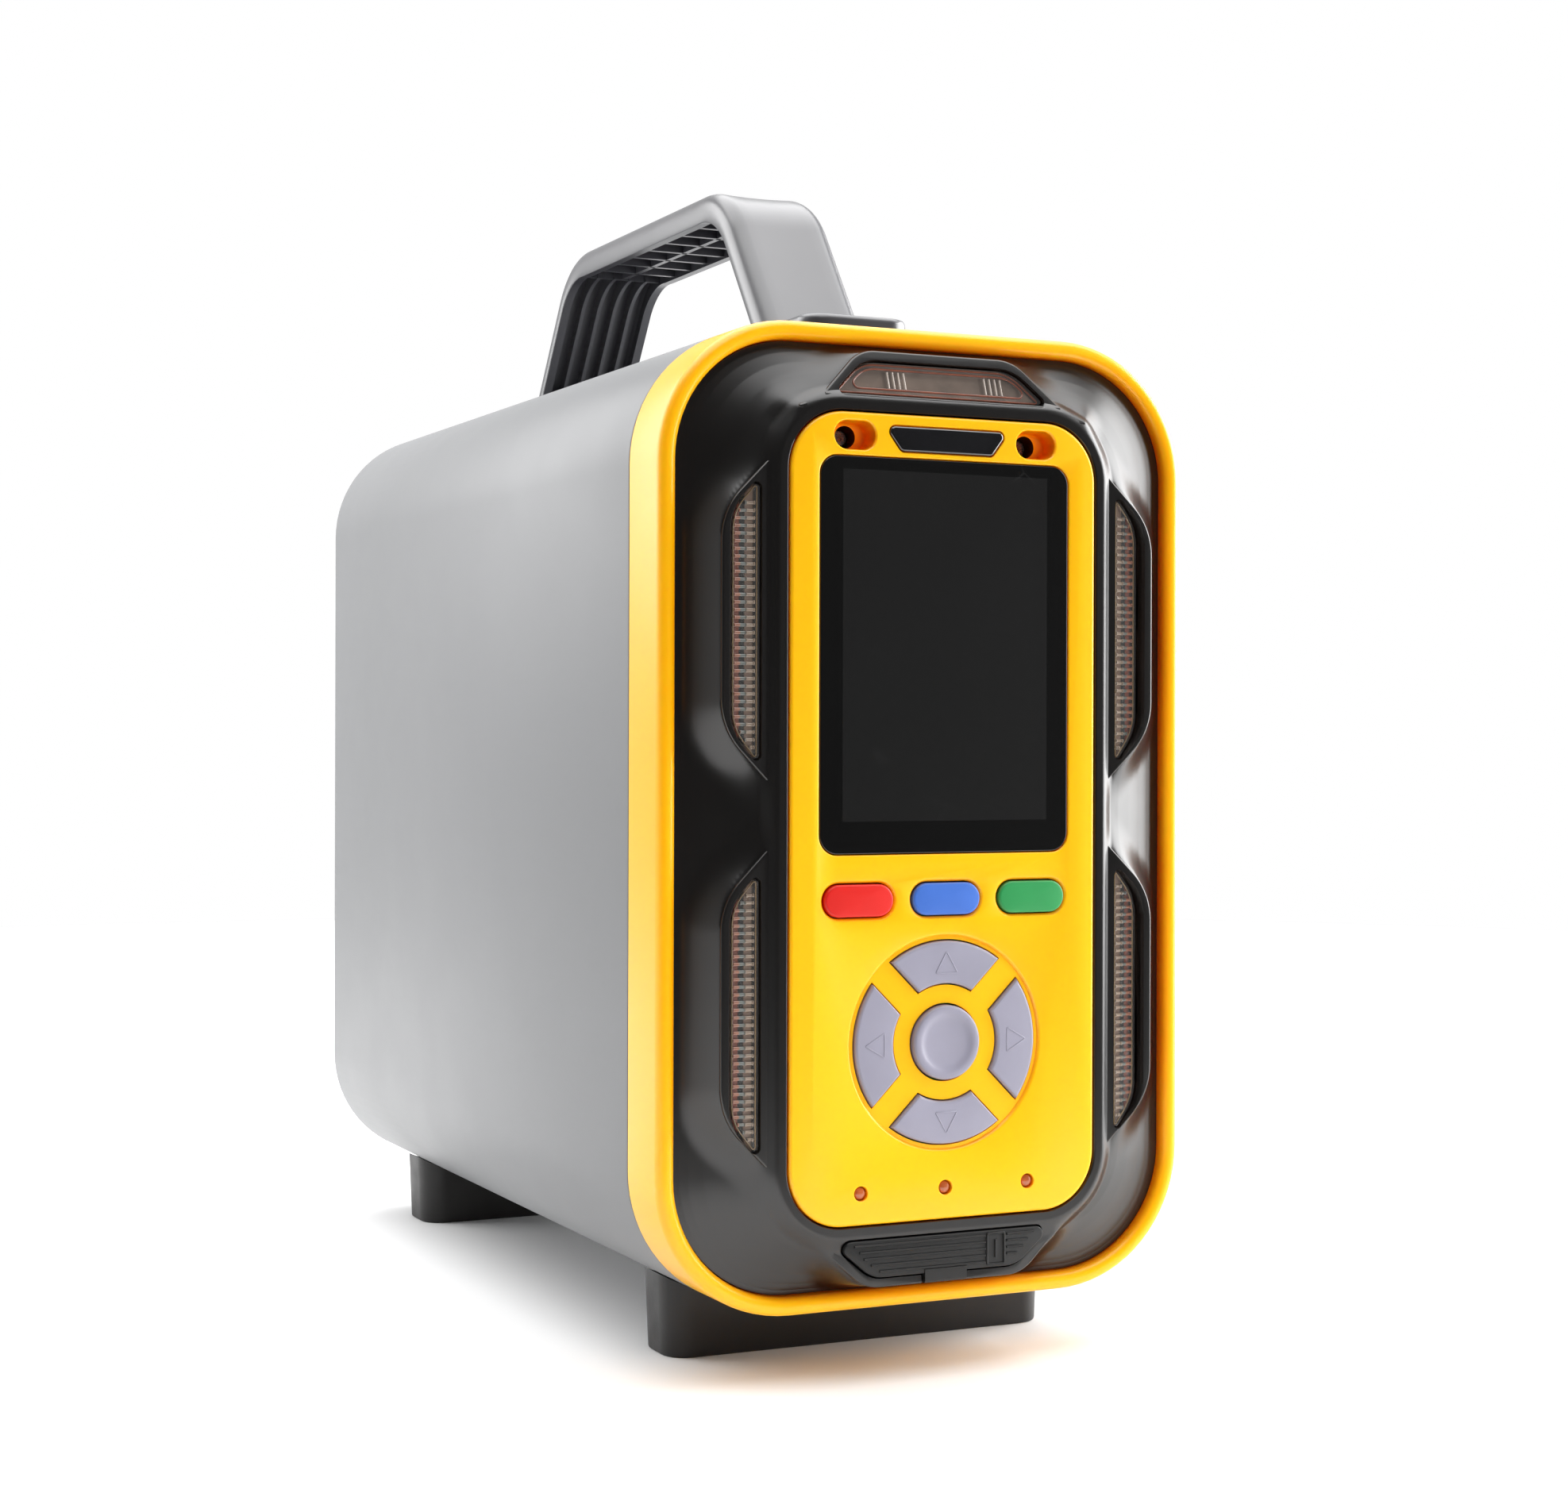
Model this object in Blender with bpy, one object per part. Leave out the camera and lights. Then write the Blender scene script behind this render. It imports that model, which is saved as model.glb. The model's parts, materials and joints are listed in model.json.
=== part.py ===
"""A portable gas detector: a rounded metal case with a carrying handle, a keypad front and a gas sampling train.

The case stands on two cross bars. Its front faces -Y, +X is to the right of the front and +Z is up. The origin
is the bottom centre of the whole object's box. Every dimension below is in millimetres, and skin() turns the
points into metres. Depths are counted from the front plane of the yellow ring, positive towards the rear.
"""

import math

import bmesh
import bpy
from mathutils import Matrix, Vector

MM = 0.001
GAP = 0.3  # clearance between pieces that touch

# Overall
CASE_HALF_WIDTH = 63.0
CASE_BOTTOM = 14.4
CASE_TOP = 222.6
CASE_RADIUS = 30.2
CASE_REAR = 244.4
FRONT_REACH = 7.3  # the key faces stand this far ahead of the ring
REAR_REACH = 256.0  # the hose barbs end this far behind it
RING_Y = (FRONT_REACH - REAR_REACH) / 2
MID_Z = (CASE_BOTTOM + CASE_TOP) / 2

# Case shell
WALL = 2.5
RING_DEPTH = 16.9
LIP = 4.0
SEAL_STEP = 2.0
BOSS_RADIUS = 4.3
BOSS_REACH = 49.8
BOSS_END = 236.2

# Front: bezel, fascia, glass
BEZEL_RIM_DEPTH = 2.6
BEZEL_SKIRT_END = 22.0
BEZEL_WALL = 2.2
PLATEAU_HALF_WIDTH = 41.2
PLATEAU_DEPTH = -6.2
FASCIA_HALF_WIDTH = 36.6
FASCIA_BOTTOM = 33.6
FASCIA_TOP = 203.3
FASCIA_RADIUS = 12.5
FASCIA_DEPTH = -6.5
FASCIA_THICKNESS = 2.2
PLATEAU_BAND = PLATEAU_HALF_WIDTH - FASCIA_HALF_WIDTH
LEDGE_WIDTH = 3.6
GLASS_HALF_WIDTH = 29.7
GLASS_BOTTOM = 111.1
GLASS_TOP = 194.0
GLASS_RADIUS = 4.0

# Keys and lamps
KEY_BACK = -2.6  # leaves 1.4 mm over the keypad board for the 1 mm press
SOFT_KEY_Z = 101.4
SOFT_KEY_HALF = (8.05, 3.4)
SOFT_KEY_PITCH = 20.7
PAD_Z = 71.0
PAD_OUTER = 21.5
PAD_INNER = 12.45
PAD_BAR = 5.0
ENTER_RADIUS = 7.9
LAMP_Z = 40.3
LAMP_PITCH = 20.0
LAMP_RADIUS = 1.35
SCREW_X = 21.7
SCREW_Z = 198.4
SCREW_HOLE_RADIUS = 2.3
SCREW_WELL = (4.8, 3.0)
WELL_WALL = 1.2
WELL_FLOOR = -1.2
WELL_END = 4.2

# Alarm windows: (reach from the centre plane, height) of each corner
UPPER_POD = [(37.0, 196.5), (51.7, 181.8), (51.7, 137.0), (37.0, 122.3)]
UPPER_LENS = [(42.8, 188.8), (48.7, 181.8), (48.7, 137.4), (42.8, 129.4)]
LOWER_POD = [(37.0, 116.3), (51.7, 101.6), (51.7, 57.4), (37.0, 42.7)]
LOWER_LENS = [(42.8, 107.6), (48.7, 100.6), (48.7, 56.4), (42.8, 48.8)]
TOP_POD = [(-37.0, 203.4), (-29.5, 206.0), (-18.5, 217.0), (18.5, 217.0), (29.5, 206.0), (37.0, 203.4)]
TOP_LENS = [(-25.2, 207.4), (-18.0, 214.4), (18.0, 214.4), (25.2, 207.4)]
POD_DEPTH = -5.8
LENS_DEPTH = -4.9  # at a side lens's inner edge
LENS_TILT = math.tan(math.radians(8))
LENS_THICKNESS = 2.0
TOP_LENS_DEPTH = -3.2  # at its middle height
TOP_LENS_Z = 210.7
TOP_POD_DEPTH = -3.8
LENS_CORNERS = (1.6, 9.0, 9.0, 1.6)
TOP_LENS_CORNERS = (1.3, 8.0, 8.0, 1.3)
POD_CORNERS = (2.0, 15.0, 15.0, 2.0)
TOP_POD_CORNERS = (0.9, 9.0, 9.0, 9.0, 9.0, 0.9)
TOP_SLOPE = 0.33  # the top pod and its window lean back towards the ring

# Port flap
FLAP = [(-26.6, 30.4), (26.6, 30.4), (17.3, 22.5), (-17.3, 22.5)]
FLAP_CORNERS = (1.6, 1.6, 7.0, 7.0)
FLAP_FACE = -6.85
FLAP_THICKNESS = 1.6
FLAP_TAB_HALF = 5.0
FLAP_AXIS_Z = 21.2
STRAP_TOP = 23.4
BOTTOM_POD = [(-33.0, 33.0), (33.0, 33.0), (18.8, 20.3), (-18.8, 20.3)]
BOTTOM_POD_CORNERS = (2.0, 2.0, 9.0, 9.0)
SOCKET_HALF_WIDTH = 8.0
SOCKET_LOW = 23.4
SOCKET_HIGH = 29.2
SOCKET_WALL = 0.75

# Handle, seen from the side: distances along Y from its middle plane
HANDLE_MID = 136.3
HANDLE_TOP = 268.4
BAR_END = 39.6
LEG_FOOT = (80.5, 229.0)
BEND_RADIUS = 25.0
GRIP_HALF_WIDTH = 13.3
GRIP_DEPTH = 7.5
LEG_DEPTH = 6.0
GRIP_WALL = 2.4
GRIP_EDGE = 4.2
PAD_FOOT_END = 102.3
PAD_FOOT_INNER = 69.0
PAD_FOOT_TOP = 230.7
PAD_FOOT_HALF = 13.5
HANDLE_SCREW = 93.0
HANDLE_WELL_Z = 226.4

# Standing feet
FOOT_HALF_LENGTH = 48.0
FOOT_RADIUS = 7.0
FRONT_FOOT = (30.6, 50.4)
REAR_FOOT = (206.2, 227.0)
FOOT_SCREW_X = 30.0
FOOT_WELL_HEIGHT = 6.0

# Rear end and inside
PANEL = (238.4, 241.4)
HOSE_Z = 168.0
HOSE_X = 24.0
SHELF_Z = 112.0
SHELF_TOP = SHELF_Z + 1.5
CHARGE_Z = 60.0
MANIFOLD_X = -27.0
MANIFOLD = (60.0, 140.0)
GAS_WAY_RISE = 5.0
PUMP_X = 24.0
PUMP_Y = 150.0
PUMP_Z = 142.0
PUMP_HEAD = (118.0, 148.0)
PUMP_PORTS_X = (PUMP_X - 8, PUMP_X + 8)
PUMP_PORTS_Z = 158.0

MATERIALS = {
    "yellow_plastic": ((0.98, 0.55, 0.01), 0.35, 0.0),
    "black_plastic": ((0.012, 0.012, 0.013), 0.35, 0.0),
    "grey_paint": ((0.10, 0.10, 0.105), 0.45, 0.0),
    "dark_grip": ((0.035, 0.035, 0.038), 0.45, 0.0),
    "rubber": ((0.015, 0.015, 0.015), 0.75, 0.0),
    "glass": ((0.005, 0.005, 0.006), 0.05, 0.0),
    "lens": ((0.45, 0.30, 0.25), 0.15, 0.0),
    "key_red": ((0.80, 0.05, 0.04), 0.45, 0.0),
    "key_blue": ((0.08, 0.18, 0.70), 0.45, 0.0),
    "key_green": ((0.02, 0.35, 0.10), 0.45, 0.0),
    "key_grey": ((0.38, 0.37, 0.46), 0.45, 0.0),
    "amber": ((0.80, 0.25, 0.05), 0.25, 0.0),
    "steel": ((0.60, 0.60, 0.60), 0.30, 1.0),
    "circuit_board": ((0.02, 0.18, 0.06), 0.40, 0.0),
    "anodised": ((0.05, 0.06, 0.07), 0.40, 0.6),
    "battery_wrap": ((0.04, 0.12, 0.35), 0.40, 0.0),
}


def clear_scene():
    for obj in list(bpy.data.objects):
        bpy.data.objects.remove(obj)


def material(name):
    """The Principled material of this name, made on first use."""
    if name in bpy.data.materials:
        return bpy.data.materials[name]
    colour, roughness, metallic = MATERIALS[name]
    made = bpy.data.materials.new(name)
    made.use_nodes = True
    shader = made.node_tree.nodes["Principled BSDF"]
    shader.inputs["Base Color"].default_value = (*colour, 1.0)
    shader.inputs["Roughness"].default_value = roughness
    shader.inputs["Metallic"].default_value = metallic
    made.diffuse_color = (*colour, 1.0)
    return made


# Outlines and solids


def at(x, depth, z):
    """A point in the object's frame from its place behind the ring's front plane."""
    return Vector((x, RING_Y + depth, z))


def arc(centre, radius, start, end, steps):
    """Points on a circle from one angle to another, in degrees."""
    angles = [math.radians(start + (end - start) * i / steps) for i in range(steps + 1)]
    return [(centre[0] + radius * math.cos(a), centre[1] + radius * math.sin(a)) for a in angles]


def rounded_box(half_width, low, high, radius, steps=6):
    """A rounded rectangle about x = 0, anticlockwise from its lower right corner."""
    x = half_width - radius
    corners = [(x, low + radius, -90), (x, high - radius, 0), (-x, high - radius, 90), (-x, low + radius, 180)]
    return [p for cx, cz, turn in corners for p in arc((cx, cz), radius, turn, turn + 90, steps)]


def filleted(points, radii, steps=3):
    """The polygon with each corner rounded, to one radius or to a radius for each corner."""
    outline = []
    for i, point in enumerate(points):
        radius = radii[i] if isinstance(radii, (list, tuple)) else radii
        here = Vector(point)
        before = (Vector(points[i - 1]) - here).normalized()
        after = (Vector(points[(i + 1) % len(points)]) - here).normalized()
        half_angle = before.angle(after) / 2
        reach = radius / math.tan(half_angle)
        centre = here + (before + after).normalized() * radius / math.sin(half_angle)
        start = here + before * reach - centre
        end = here + after * reach - centre
        first = math.atan2(start.y, start.x)
        turn = math.copysign(math.pi - 2 * half_angle, start.cross(end))
        for k in range(steps + 1):
            angle = first + turn * k / steps
            outline.append((centre.x + radius * math.cos(angle), centre.y + radius * math.sin(angle)))
    return outline


def skin(name, loops, finish, closed=False, origin=None):
    """An object skinned over loops of points in millimetres. A closed one joins its last loop to its first,
    and an open one gets a face over each end."""
    origin = origin or Vector((0, 0, 0))
    shape = bmesh.new()
    rings = [[shape.verts.new((Vector(p) - origin) * MM) for p in loop] for loop in loops]
    pairs = list(zip(rings, rings[1:]))
    if closed:
        pairs.append((rings[-1], rings[0]))
    else:
        shape.faces.new(rings[0])
        shape.faces.new(rings[-1])
    for low, high in pairs:
        for i in range(len(low)):
            k = (i + 1) % len(low)
            shape.faces.new((low[i], low[k], high[k], high[i]))
    bmesh.ops.recalc_face_normals(shape, faces=shape.faces)
    mesh = bpy.data.meshes.new(name)
    shape.to_mesh(mesh)
    shape.free()
    mesh.shade_smooth()
    mesh.set_sharp_from_angle(angle=math.radians(30))
    mesh.materials.append(material(finish))
    obj = bpy.data.objects.new(name, mesh)
    obj.location = origin * MM
    bpy.context.scene.collection.objects.link(obj)
    return obj


def plate(name, outline, front, back, finish, edge=0.0, origin=None):
    """An outline in XZ given thickness along Y. front may be a function of (x, z), for a sloping face, and
    edge rounds the rim of the front face."""
    face = front if callable(front) else lambda x, z: front
    loops = [[at(x, back, z) for x, z in outline]]
    if edge:
        loops.append([at(x, face(x, z) + edge, z) for x, z in outline])
        loops.append([at(x, face(x, z) + edge * 0.3, z) for x, z in shrunk(outline, edge * 0.3)])
        loops.append([at(x, face(x, z), z) for x, z in shrunk(outline, edge)])
    else:
        loops.append([at(x, face(x, z), z) for x, z in outline])
    return skin(name, loops, finish, origin=origin)


def shrunk(outline, amount):
    """The outline with each point moved inwards along the bisector of its corner."""
    area = sum(a[0] * b[1] - b[0] * a[1] for a, b in zip(outline, outline[1:] + outline[:1]))
    inward = 1 if area > 0 else -1
    moved = []
    for i, (x, z) in enumerate(outline):
        before = Vector((x, z)) - Vector(outline[i - 1])
        after = Vector(outline[(i + 1) % len(outline)]) - Vector((x, z))
        along = (before.normalized() + after.normalized()).normalized()
        moved.append((x - along.y * amount * inward, z + along.x * amount * inward))
    return moved


def block(name, x, depth, z, finish, origin=None):
    """A rectangular block between two values on each axis."""
    outline = [(x[0], z[0]), (x[1], z[0]), (x[1], z[1]), (x[0], z[1])]
    return plate(name, outline, depth[0], depth[1], finish, origin=origin)


def turned(name, profile, centre, finish, axis="Y", steps=20, closed=False, origin=None):
    """A turned piece: (radius, distance) points along an axis through centre."""
    turn = {"Y": Matrix.Identity(3), "Z": Matrix.Rotation(math.radians(90), 3, "X"),
            "X": Matrix.Rotation(math.radians(-90), 3, "Z")}[axis]
    loops = []
    for radius, along in profile:
        angles = [2 * math.pi * i / steps for i in range(steps)]
        loops.append([centre + turn @ Vector((radius * math.cos(a), along, radius * math.sin(a))) for a in angles])
    return skin(name, loops, finish, closed=closed, origin=origin)


def combine(obj, other, operation):
    """Adds an exact Boolean of obj with other, and hides other from the finished object."""
    other.hide_render = True
    other.display_type = "WIRE"
    made = obj.modifiers.new(f"{operation.lower()}_{other.name}", "BOOLEAN")
    made.operation = operation
    made.solver = "EXACT"
    made.object = other
    return obj


def cut(obj, *cutters):
    for cutter in cutters:
        combine(obj, cutter, "DIFFERENCE")
    return obj


def join(obj, *others):
    for other in others:
        combine(obj, other, "UNION")
    return obj


def drill(obj, centre, radius, start, end, axis="Y", steps=12):
    """Cuts a round hole between two distances along the axis."""
    name = f"hole_{obj.name}_{len(obj.modifiers)}"
    return cut(obj, turned(name, [(radius, start), (radius, end)], centre, "steel", axis, steps))


def case_section(inset, depth):
    """The case's rounded rectangle, moved inwards by inset."""
    outline = rounded_box(CASE_HALF_WIDTH - inset, CASE_BOTTOM + inset, CASE_TOP - inset, CASE_RADIUS - inset)
    return [at(x, depth, z) for x, z in outline]


def fascia_section(grown, depth):
    """The fascia's rounded rectangle, moved outwards by grown."""
    outline = rounded_box(FASCIA_HALF_WIDTH + grown, FASCIA_BOTTOM - grown, FASCIA_TOP + grown,
                          FASCIA_RADIUS + grown)
    return [at(x, depth, z) for x, z in outline]


def between(loop_a, loop_b, share, depth):
    """A loop part of the way from one loop to another, at its own depth."""
    return [Vector((*a.lerp(b, share).xz, 0)).xzy + Vector((0, RING_Y + depth, 0))
            for a, b in zip(loop_a, loop_b)]


# Case


def corner_bosses():
    """The places of the four screw channels in the case's corners, by name."""
    rise = (CASE_TOP - CASE_BOTTOM) / 2 - (CASE_HALF_WIDTH - BOSS_REACH)
    return {
        f"{level}_{side}": (across * BOSS_REACH, MID_Z + up * rise)
        for level, up in (("upper", 1), ("lower", -1))
        for side, across in (("left", -1), ("right", 1))
    }


def build_case():
    front = RING_DEPTH + GAP
    loops = [case_section(inset, depth) for inset, depth in
             ((0.6, front), (0, front + 0.6), (0, CASE_REAR - 0.6), (0.6, CASE_REAR),
              (WALL, CASE_REAR), (WALL, front))]
    housing = skin("housing", loops, "grey_paint", closed=True)
    for place, (x, z) in corner_bosses().items():
        boss = [(BOSS_RADIUS, 30.0), (BOSS_RADIUS, BOSS_END)]
        join(housing, turned(f"boss_{place}", boss, at(x, 0, z), "grey_paint", steps=14))
        drill(housing, at(x, 0, z), 1.8, BOSS_END - 14, BOSS_END + 1, steps=12)
    for end in (-1, 1):
        drill(housing, at(0, HANDLE_MID + end * HANDLE_SCREW, CASE_TOP), 2.9, -WALL - 1, 1, "Z", 12)
    for x in (-FOOT_SCREW_X, FOOT_SCREW_X):
        for foot in (FRONT_FOOT, REAR_FOOT):
            drill(housing, at(x, sum(foot) / 2, CASE_BOTTOM), 1.9, -1, WALL + 1, "Z", 12)

    rim = [(0, RING_DEPTH), (0, 1.9), (0.45, 0.75), (1.4, 0), (2.6, 0), (3.6, 0.5), (LIP, 1.5),
           (LIP, RING_DEPTH - SEAL_STEP), (LIP - 2.1, RING_DEPTH - SEAL_STEP), (LIP - 2.1, RING_DEPTH)]
    skin("front_ring", [case_section(inset, depth) for inset, depth in rim], "yellow_plastic", closed=True)
    seal = [(LIP - 1.8, RING_DEPTH), (LIP - 1.8, RING_DEPTH - SEAL_STEP + GAP),
            (LIP - 0.2, RING_DEPTH - SEAL_STEP + GAP), (LIP - 0.2, RING_DEPTH)]
    skin("front_seal", [case_section(inset, depth) for inset, depth in seal], "rubber", closed=True)


def build_rear():
    edge = WALL + GAP
    loops = [case_section(inset, depth) for inset, depth in
             ((edge, PANEL[0]), (edge, PANEL[1] - 0.5), (edge + 0.5, PANEL[1]))]
    panel = skin("rear_panel", loops, "black_plastic")
    gasket_loops = [case_section(inset, depth) for inset, depth in
                    ((edge, PANEL[0] - 1.3), (edge, PANEL[0] - GAP), (edge + 6.5, PANEL[0] - GAP),
                     (edge + 6.5, PANEL[0] - 1.3))]
    gasket = skin("rear_gasket", gasket_loops, "rubber", closed=True)
    for place, (x, z) in corner_bosses().items():
        drill(panel, at(x, 0, z), 1.9, PANEL[0] - 1, PANEL[1] + 1, steps=12)
        drill(gasket, at(x, 0, z), 1.9, PANEL[0] - 3, PANEL[1] + 1, steps=12)
        pan_screw(f"rear_screw_{place}", at(x, PANEL[1] + GAP, z), "Y", 1, 3.1, 1.5, 15.0)
    for name, x in (("gas_inlet", -HOSE_X), ("gas_outlet", HOSE_X)):
        drill(panel, at(x, 0, HOSE_Z), 4.3, PANEL[0] - 1, PANEL[1] + 1)
        hose_barb(name, x)
    drill(panel, at(0, 0, CHARGE_Z), 6.3, PANEL[0] - 1, PANEL[1] + 1)
    socket = [(6.0, 226.0), (6.0, PANEL[1] + GAP), (8.0, PANEL[1] + GAP), (8.0, PANEL[1] + 1.8),
              (7.4, PANEL[1] + 2.4), (4.6, PANEL[1] + 2.4), (4.6, 231.0),
              (1.2, 231.0), (1.2, 238.0), (0.4, 238.6)]
    turned("charge_socket", socket, at(0, 0, CHARGE_Z), "steel", steps=16)


def hose_barb(name, x):
    """A panel fitting with a flange, a hexagon-sized body and three barbs outside, and a bored spigot inside."""
    face = PANEL[1] + GAP
    profile = [(2.4, 221.0), (4.0, 222.0), (4.0, face), (6.5, face), (6.5, face + 3.2), (3.0, face + 3.6)]
    for start in (face + 4.4, face + 7.4, face + 10.4):
        profile += [(3.5, start), (2.6, start + 2.6)]
    profile += [(2.6, REAR_REACH), (1.3, REAR_REACH), (1.3, 221.0)]
    turned(name, profile, at(x, 0, HOSE_Z), "steel", closed=True, steps=12)


def pan_screw(name, seat, axis, sign, head_radius, shank_radius, length):
    """A pan-head screw. seat is under its head, and sign says which way along the axis the head points."""
    head = head_radius * 0.62
    profile = [(shank_radius * 0.6, -sign * length), (shank_radius, -sign * (length - 1.2)), (shank_radius, 0),
               (head_radius, 0), (head_radius, sign * head * 0.55), (head_radius * 0.8, sign * head)]
    screw = turned(name, profile, seat, "steel", axis, 10)
    drill(screw, seat, head_radius * 0.34, sign * head * 0.35, sign * (head + 1), axis, 6)
    return screw


# Front


def build_bezel():
    outer = case_section(LIP + GAP, 0)
    plateau = fascia_section(PLATEAU_BAND, 0)
    swell = [(0.0, BEZEL_SKIRT_END), (0.0, BEZEL_RIM_DEPTH), (0.2, 1.3), (0.45, -0.9), (0.7, -3.4), (0.9, -5.2),
             (1.0, PLATEAU_DEPTH + 0.4)]
    loops = [between(outer, plateau, share, depth) for share, depth in swell]
    loops += [fascia_section(PLATEAU_BAND - 0.6, PLATEAU_DEPTH), fascia_section(GAP, PLATEAU_DEPTH)]
    ledge = FASCIA_DEPTH + FASCIA_THICKNESS + GAP
    loops += [fascia_section(GAP, ledge), fascia_section(-LEDGE_WIDTH, ledge), fascia_section(-LEDGE_WIDTH, -1.6)]
    loops += [fascia_section(PLATEAU_BAND - 1.0, -1.6), case_section(LIP + GAP + BEZEL_WALL, 5.4),
              case_section(LIP + GAP + BEZEL_WALL, BEZEL_SKIRT_END)]
    bezel = skin("front_bezel", loops, "black_plastic", closed=True)
    for level, pod, lens in (("upper", UPPER_POD, UPPER_LENS), ("lower", LOWER_POD, LOWER_LENS)):
        for side, sign in (("left", -1), ("right", 1)):
            side_window(bezel, f"{level}_{side}", pod, lens, sign)
    top_window(bezel)
    port(bezel)
    fascia_screw_posts(bezel)
    # The pods are cleared again from the fascia's pocket, which they overlap.
    pocket = rounded_box(FASCIA_HALF_WIDTH + GAP, FASCIA_BOTTOM - GAP, FASCIA_TOP + GAP, FASCIA_RADIUS + GAP)
    cut(bezel, plate("pocket_cut", pocket, -12, ledge, "steel"))


def lens_face(x, z):
    """The depth of a side lens's face, which slopes back towards the outside."""
    return LENS_DEPTH + LENS_TILT * (abs(x) - UPPER_LENS[0][0])


def side_window(bezel, place, pod, lens, sign):
    """A raised pod beside the fascia, and the clear window let into it."""
    pod_outline = filleted([(sign * x, z) for x, z in pod], POD_CORNERS)
    join(bezel, plate(f"pod_{place}", pod_outline, POD_DEPTH, 1.5, "black_plastic", edge=0.9))
    lens_outline = filleted([(sign * x, z) for x, z in lens], LENS_CORNERS)
    floor = LENS_DEPTH + LENS_THICKNESS + 1.2
    cut_window(bezel, place, lens_outline, floor)
    plate(f"alarm_lens_{place}", lens_outline, lens_face, floor - GAP, "lens")


def top_window(bezel):
    pod_outline = filleted(TOP_POD, TOP_POD_CORNERS)
    join(bezel, plate("pod_top", pod_outline, leaning(TOP_POD_DEPTH), 2.0, "black_plastic", edge=0.6))
    outline = filleted(TOP_LENS, TOP_LENS_CORNERS)
    floor = TOP_LENS_DEPTH + LENS_THICKNESS + 1.2
    cut_window(bezel, "top", outline, floor)
    plate("alarm_lens_top", outline, leaning(TOP_LENS_DEPTH), floor - GAP, "lens")


def leaning(depth):
    """A face at this depth at the middle of the top window, leaning back with height."""
    return lambda x, z: depth + TOP_SLOPE * (z - TOP_LENS_Z)


def cut_window(bezel, place, outline, floor):
    """Cuts a lens's seat down to the floor, and the slot behind it that lets the light through."""
    cut(bezel, plate(f"window_{place}", shrunk(outline, -GAP), -12, floor, "steel"))
    cut(bezel, plate(f"slot_{place}", shrunk(outline, 1.1), -12, 8, "steel"))


def port(bezel):
    """The pod under the fascia, its recess, the data socket in it and the hinged rubber flap over it."""
    face = PLATEAU_DEPTH + 0.2
    join(bezel, plate("pod_bottom", filleted(BOTTOM_POD, BOTTOM_POD_CORNERS), face, 3.0, "black_plastic", edge=0.8))
    flap_outline = filleted(FLAP, FLAP_CORNERS)
    back = FLAP_FACE + FLAP_THICKNESS
    cut(bezel, plate("flap_recess", shrunk(flap_outline, -0.5), -12, back + GAP + 0.1, "steel"))
    tab = (-FLAP_TAB_HALF, FLAP_TAB_HALF)
    cut(bezel, block("tab_recess", (tab[0] - 0.5, tab[1] + 0.5), (-12, back + GAP + 0.1), (18.6, 25.0), "steel"))
    half, low, high = SOCKET_HALF_WIDTH, SOCKET_LOW, SOCKET_HIGH
    cut(bezel, block("socket_hole", (-half - GAP, half + GAP), (-12, 10), (low - GAP, high + GAP), "steel"))

    hinge = at(0, FLAP_FACE + FLAP_THICKNESS / 2, FLAP_AXIS_Z)
    flap = plate("port_flap", flap_outline, FLAP_FACE, back, "rubber", edge=0.4, origin=hinge)
    strap = arc((0, FLAP_AXIS_Z), FLAP_THICKNESS / 2, 180, 360, 6)
    strap += [(FLAP_THICKNESS / 2, STRAP_TOP), (-FLAP_THICKNESS / 2, STRAP_TOP)]
    loops = [[at(x, FLAP_FACE + FLAP_THICKNESS / 2 + y, z) for y, z in strap] for x in tab]
    join(flap, skin("flap_strap", loops, "rubber"))

    socket = block("data_socket", (-half, half), (back + 1.6, 11.0), (low, high), "steel")
    half, low, high = half - SOCKET_WALL, low + SOCKET_WALL, high - SOCKET_WALL
    cut(socket, block("socket_bore", (-half, half), (-12, 7.0), (low, high), "steel"))
    join(socket, block("socket_tongue", (1.6 - half, half - 1.6), (1.0, 8.0), (high - 1.8, high - 0.8),
                       "black_plastic"))


def fascia_screw_posts(bezel):
    """Room for the fascia's two screw wells, and a post behind each that takes its screw."""
    for side in (-1, 1):
        x = side * SCREW_X
        cut(bezel, plate(f"well_room_{side}", shrunk(screw_well(x), -WELL_WALL - GAP), -12, WELL_END + GAP,
                         "steel"))
        outline = [(x - 4, 193.0), (x + 4, 193.0), (x + 4, 217.0), (x - 4, 217.0)]
        join(bezel, plate(f"post_{side}", outline, WELL_END + GAP, WELL_END + 6.0, "black_plastic"))
        drill(bezel, at(x, 0, SCREW_Z), 1.5, WELL_END, WELL_END + 5.0)


def screw_well(x):
    """The outline of the deep recess that a fascia screw sits in."""
    half_width, half_height = SCREW_WELL
    corners = [(x - half_width, SCREW_Z - half_height), (x + half_width, SCREW_Z - half_height),
               (x + half_width, SCREW_Z + half_height), (x - half_width, SCREW_Z + half_height)]
    return filleted(corners, half_height - 0.1)


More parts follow.
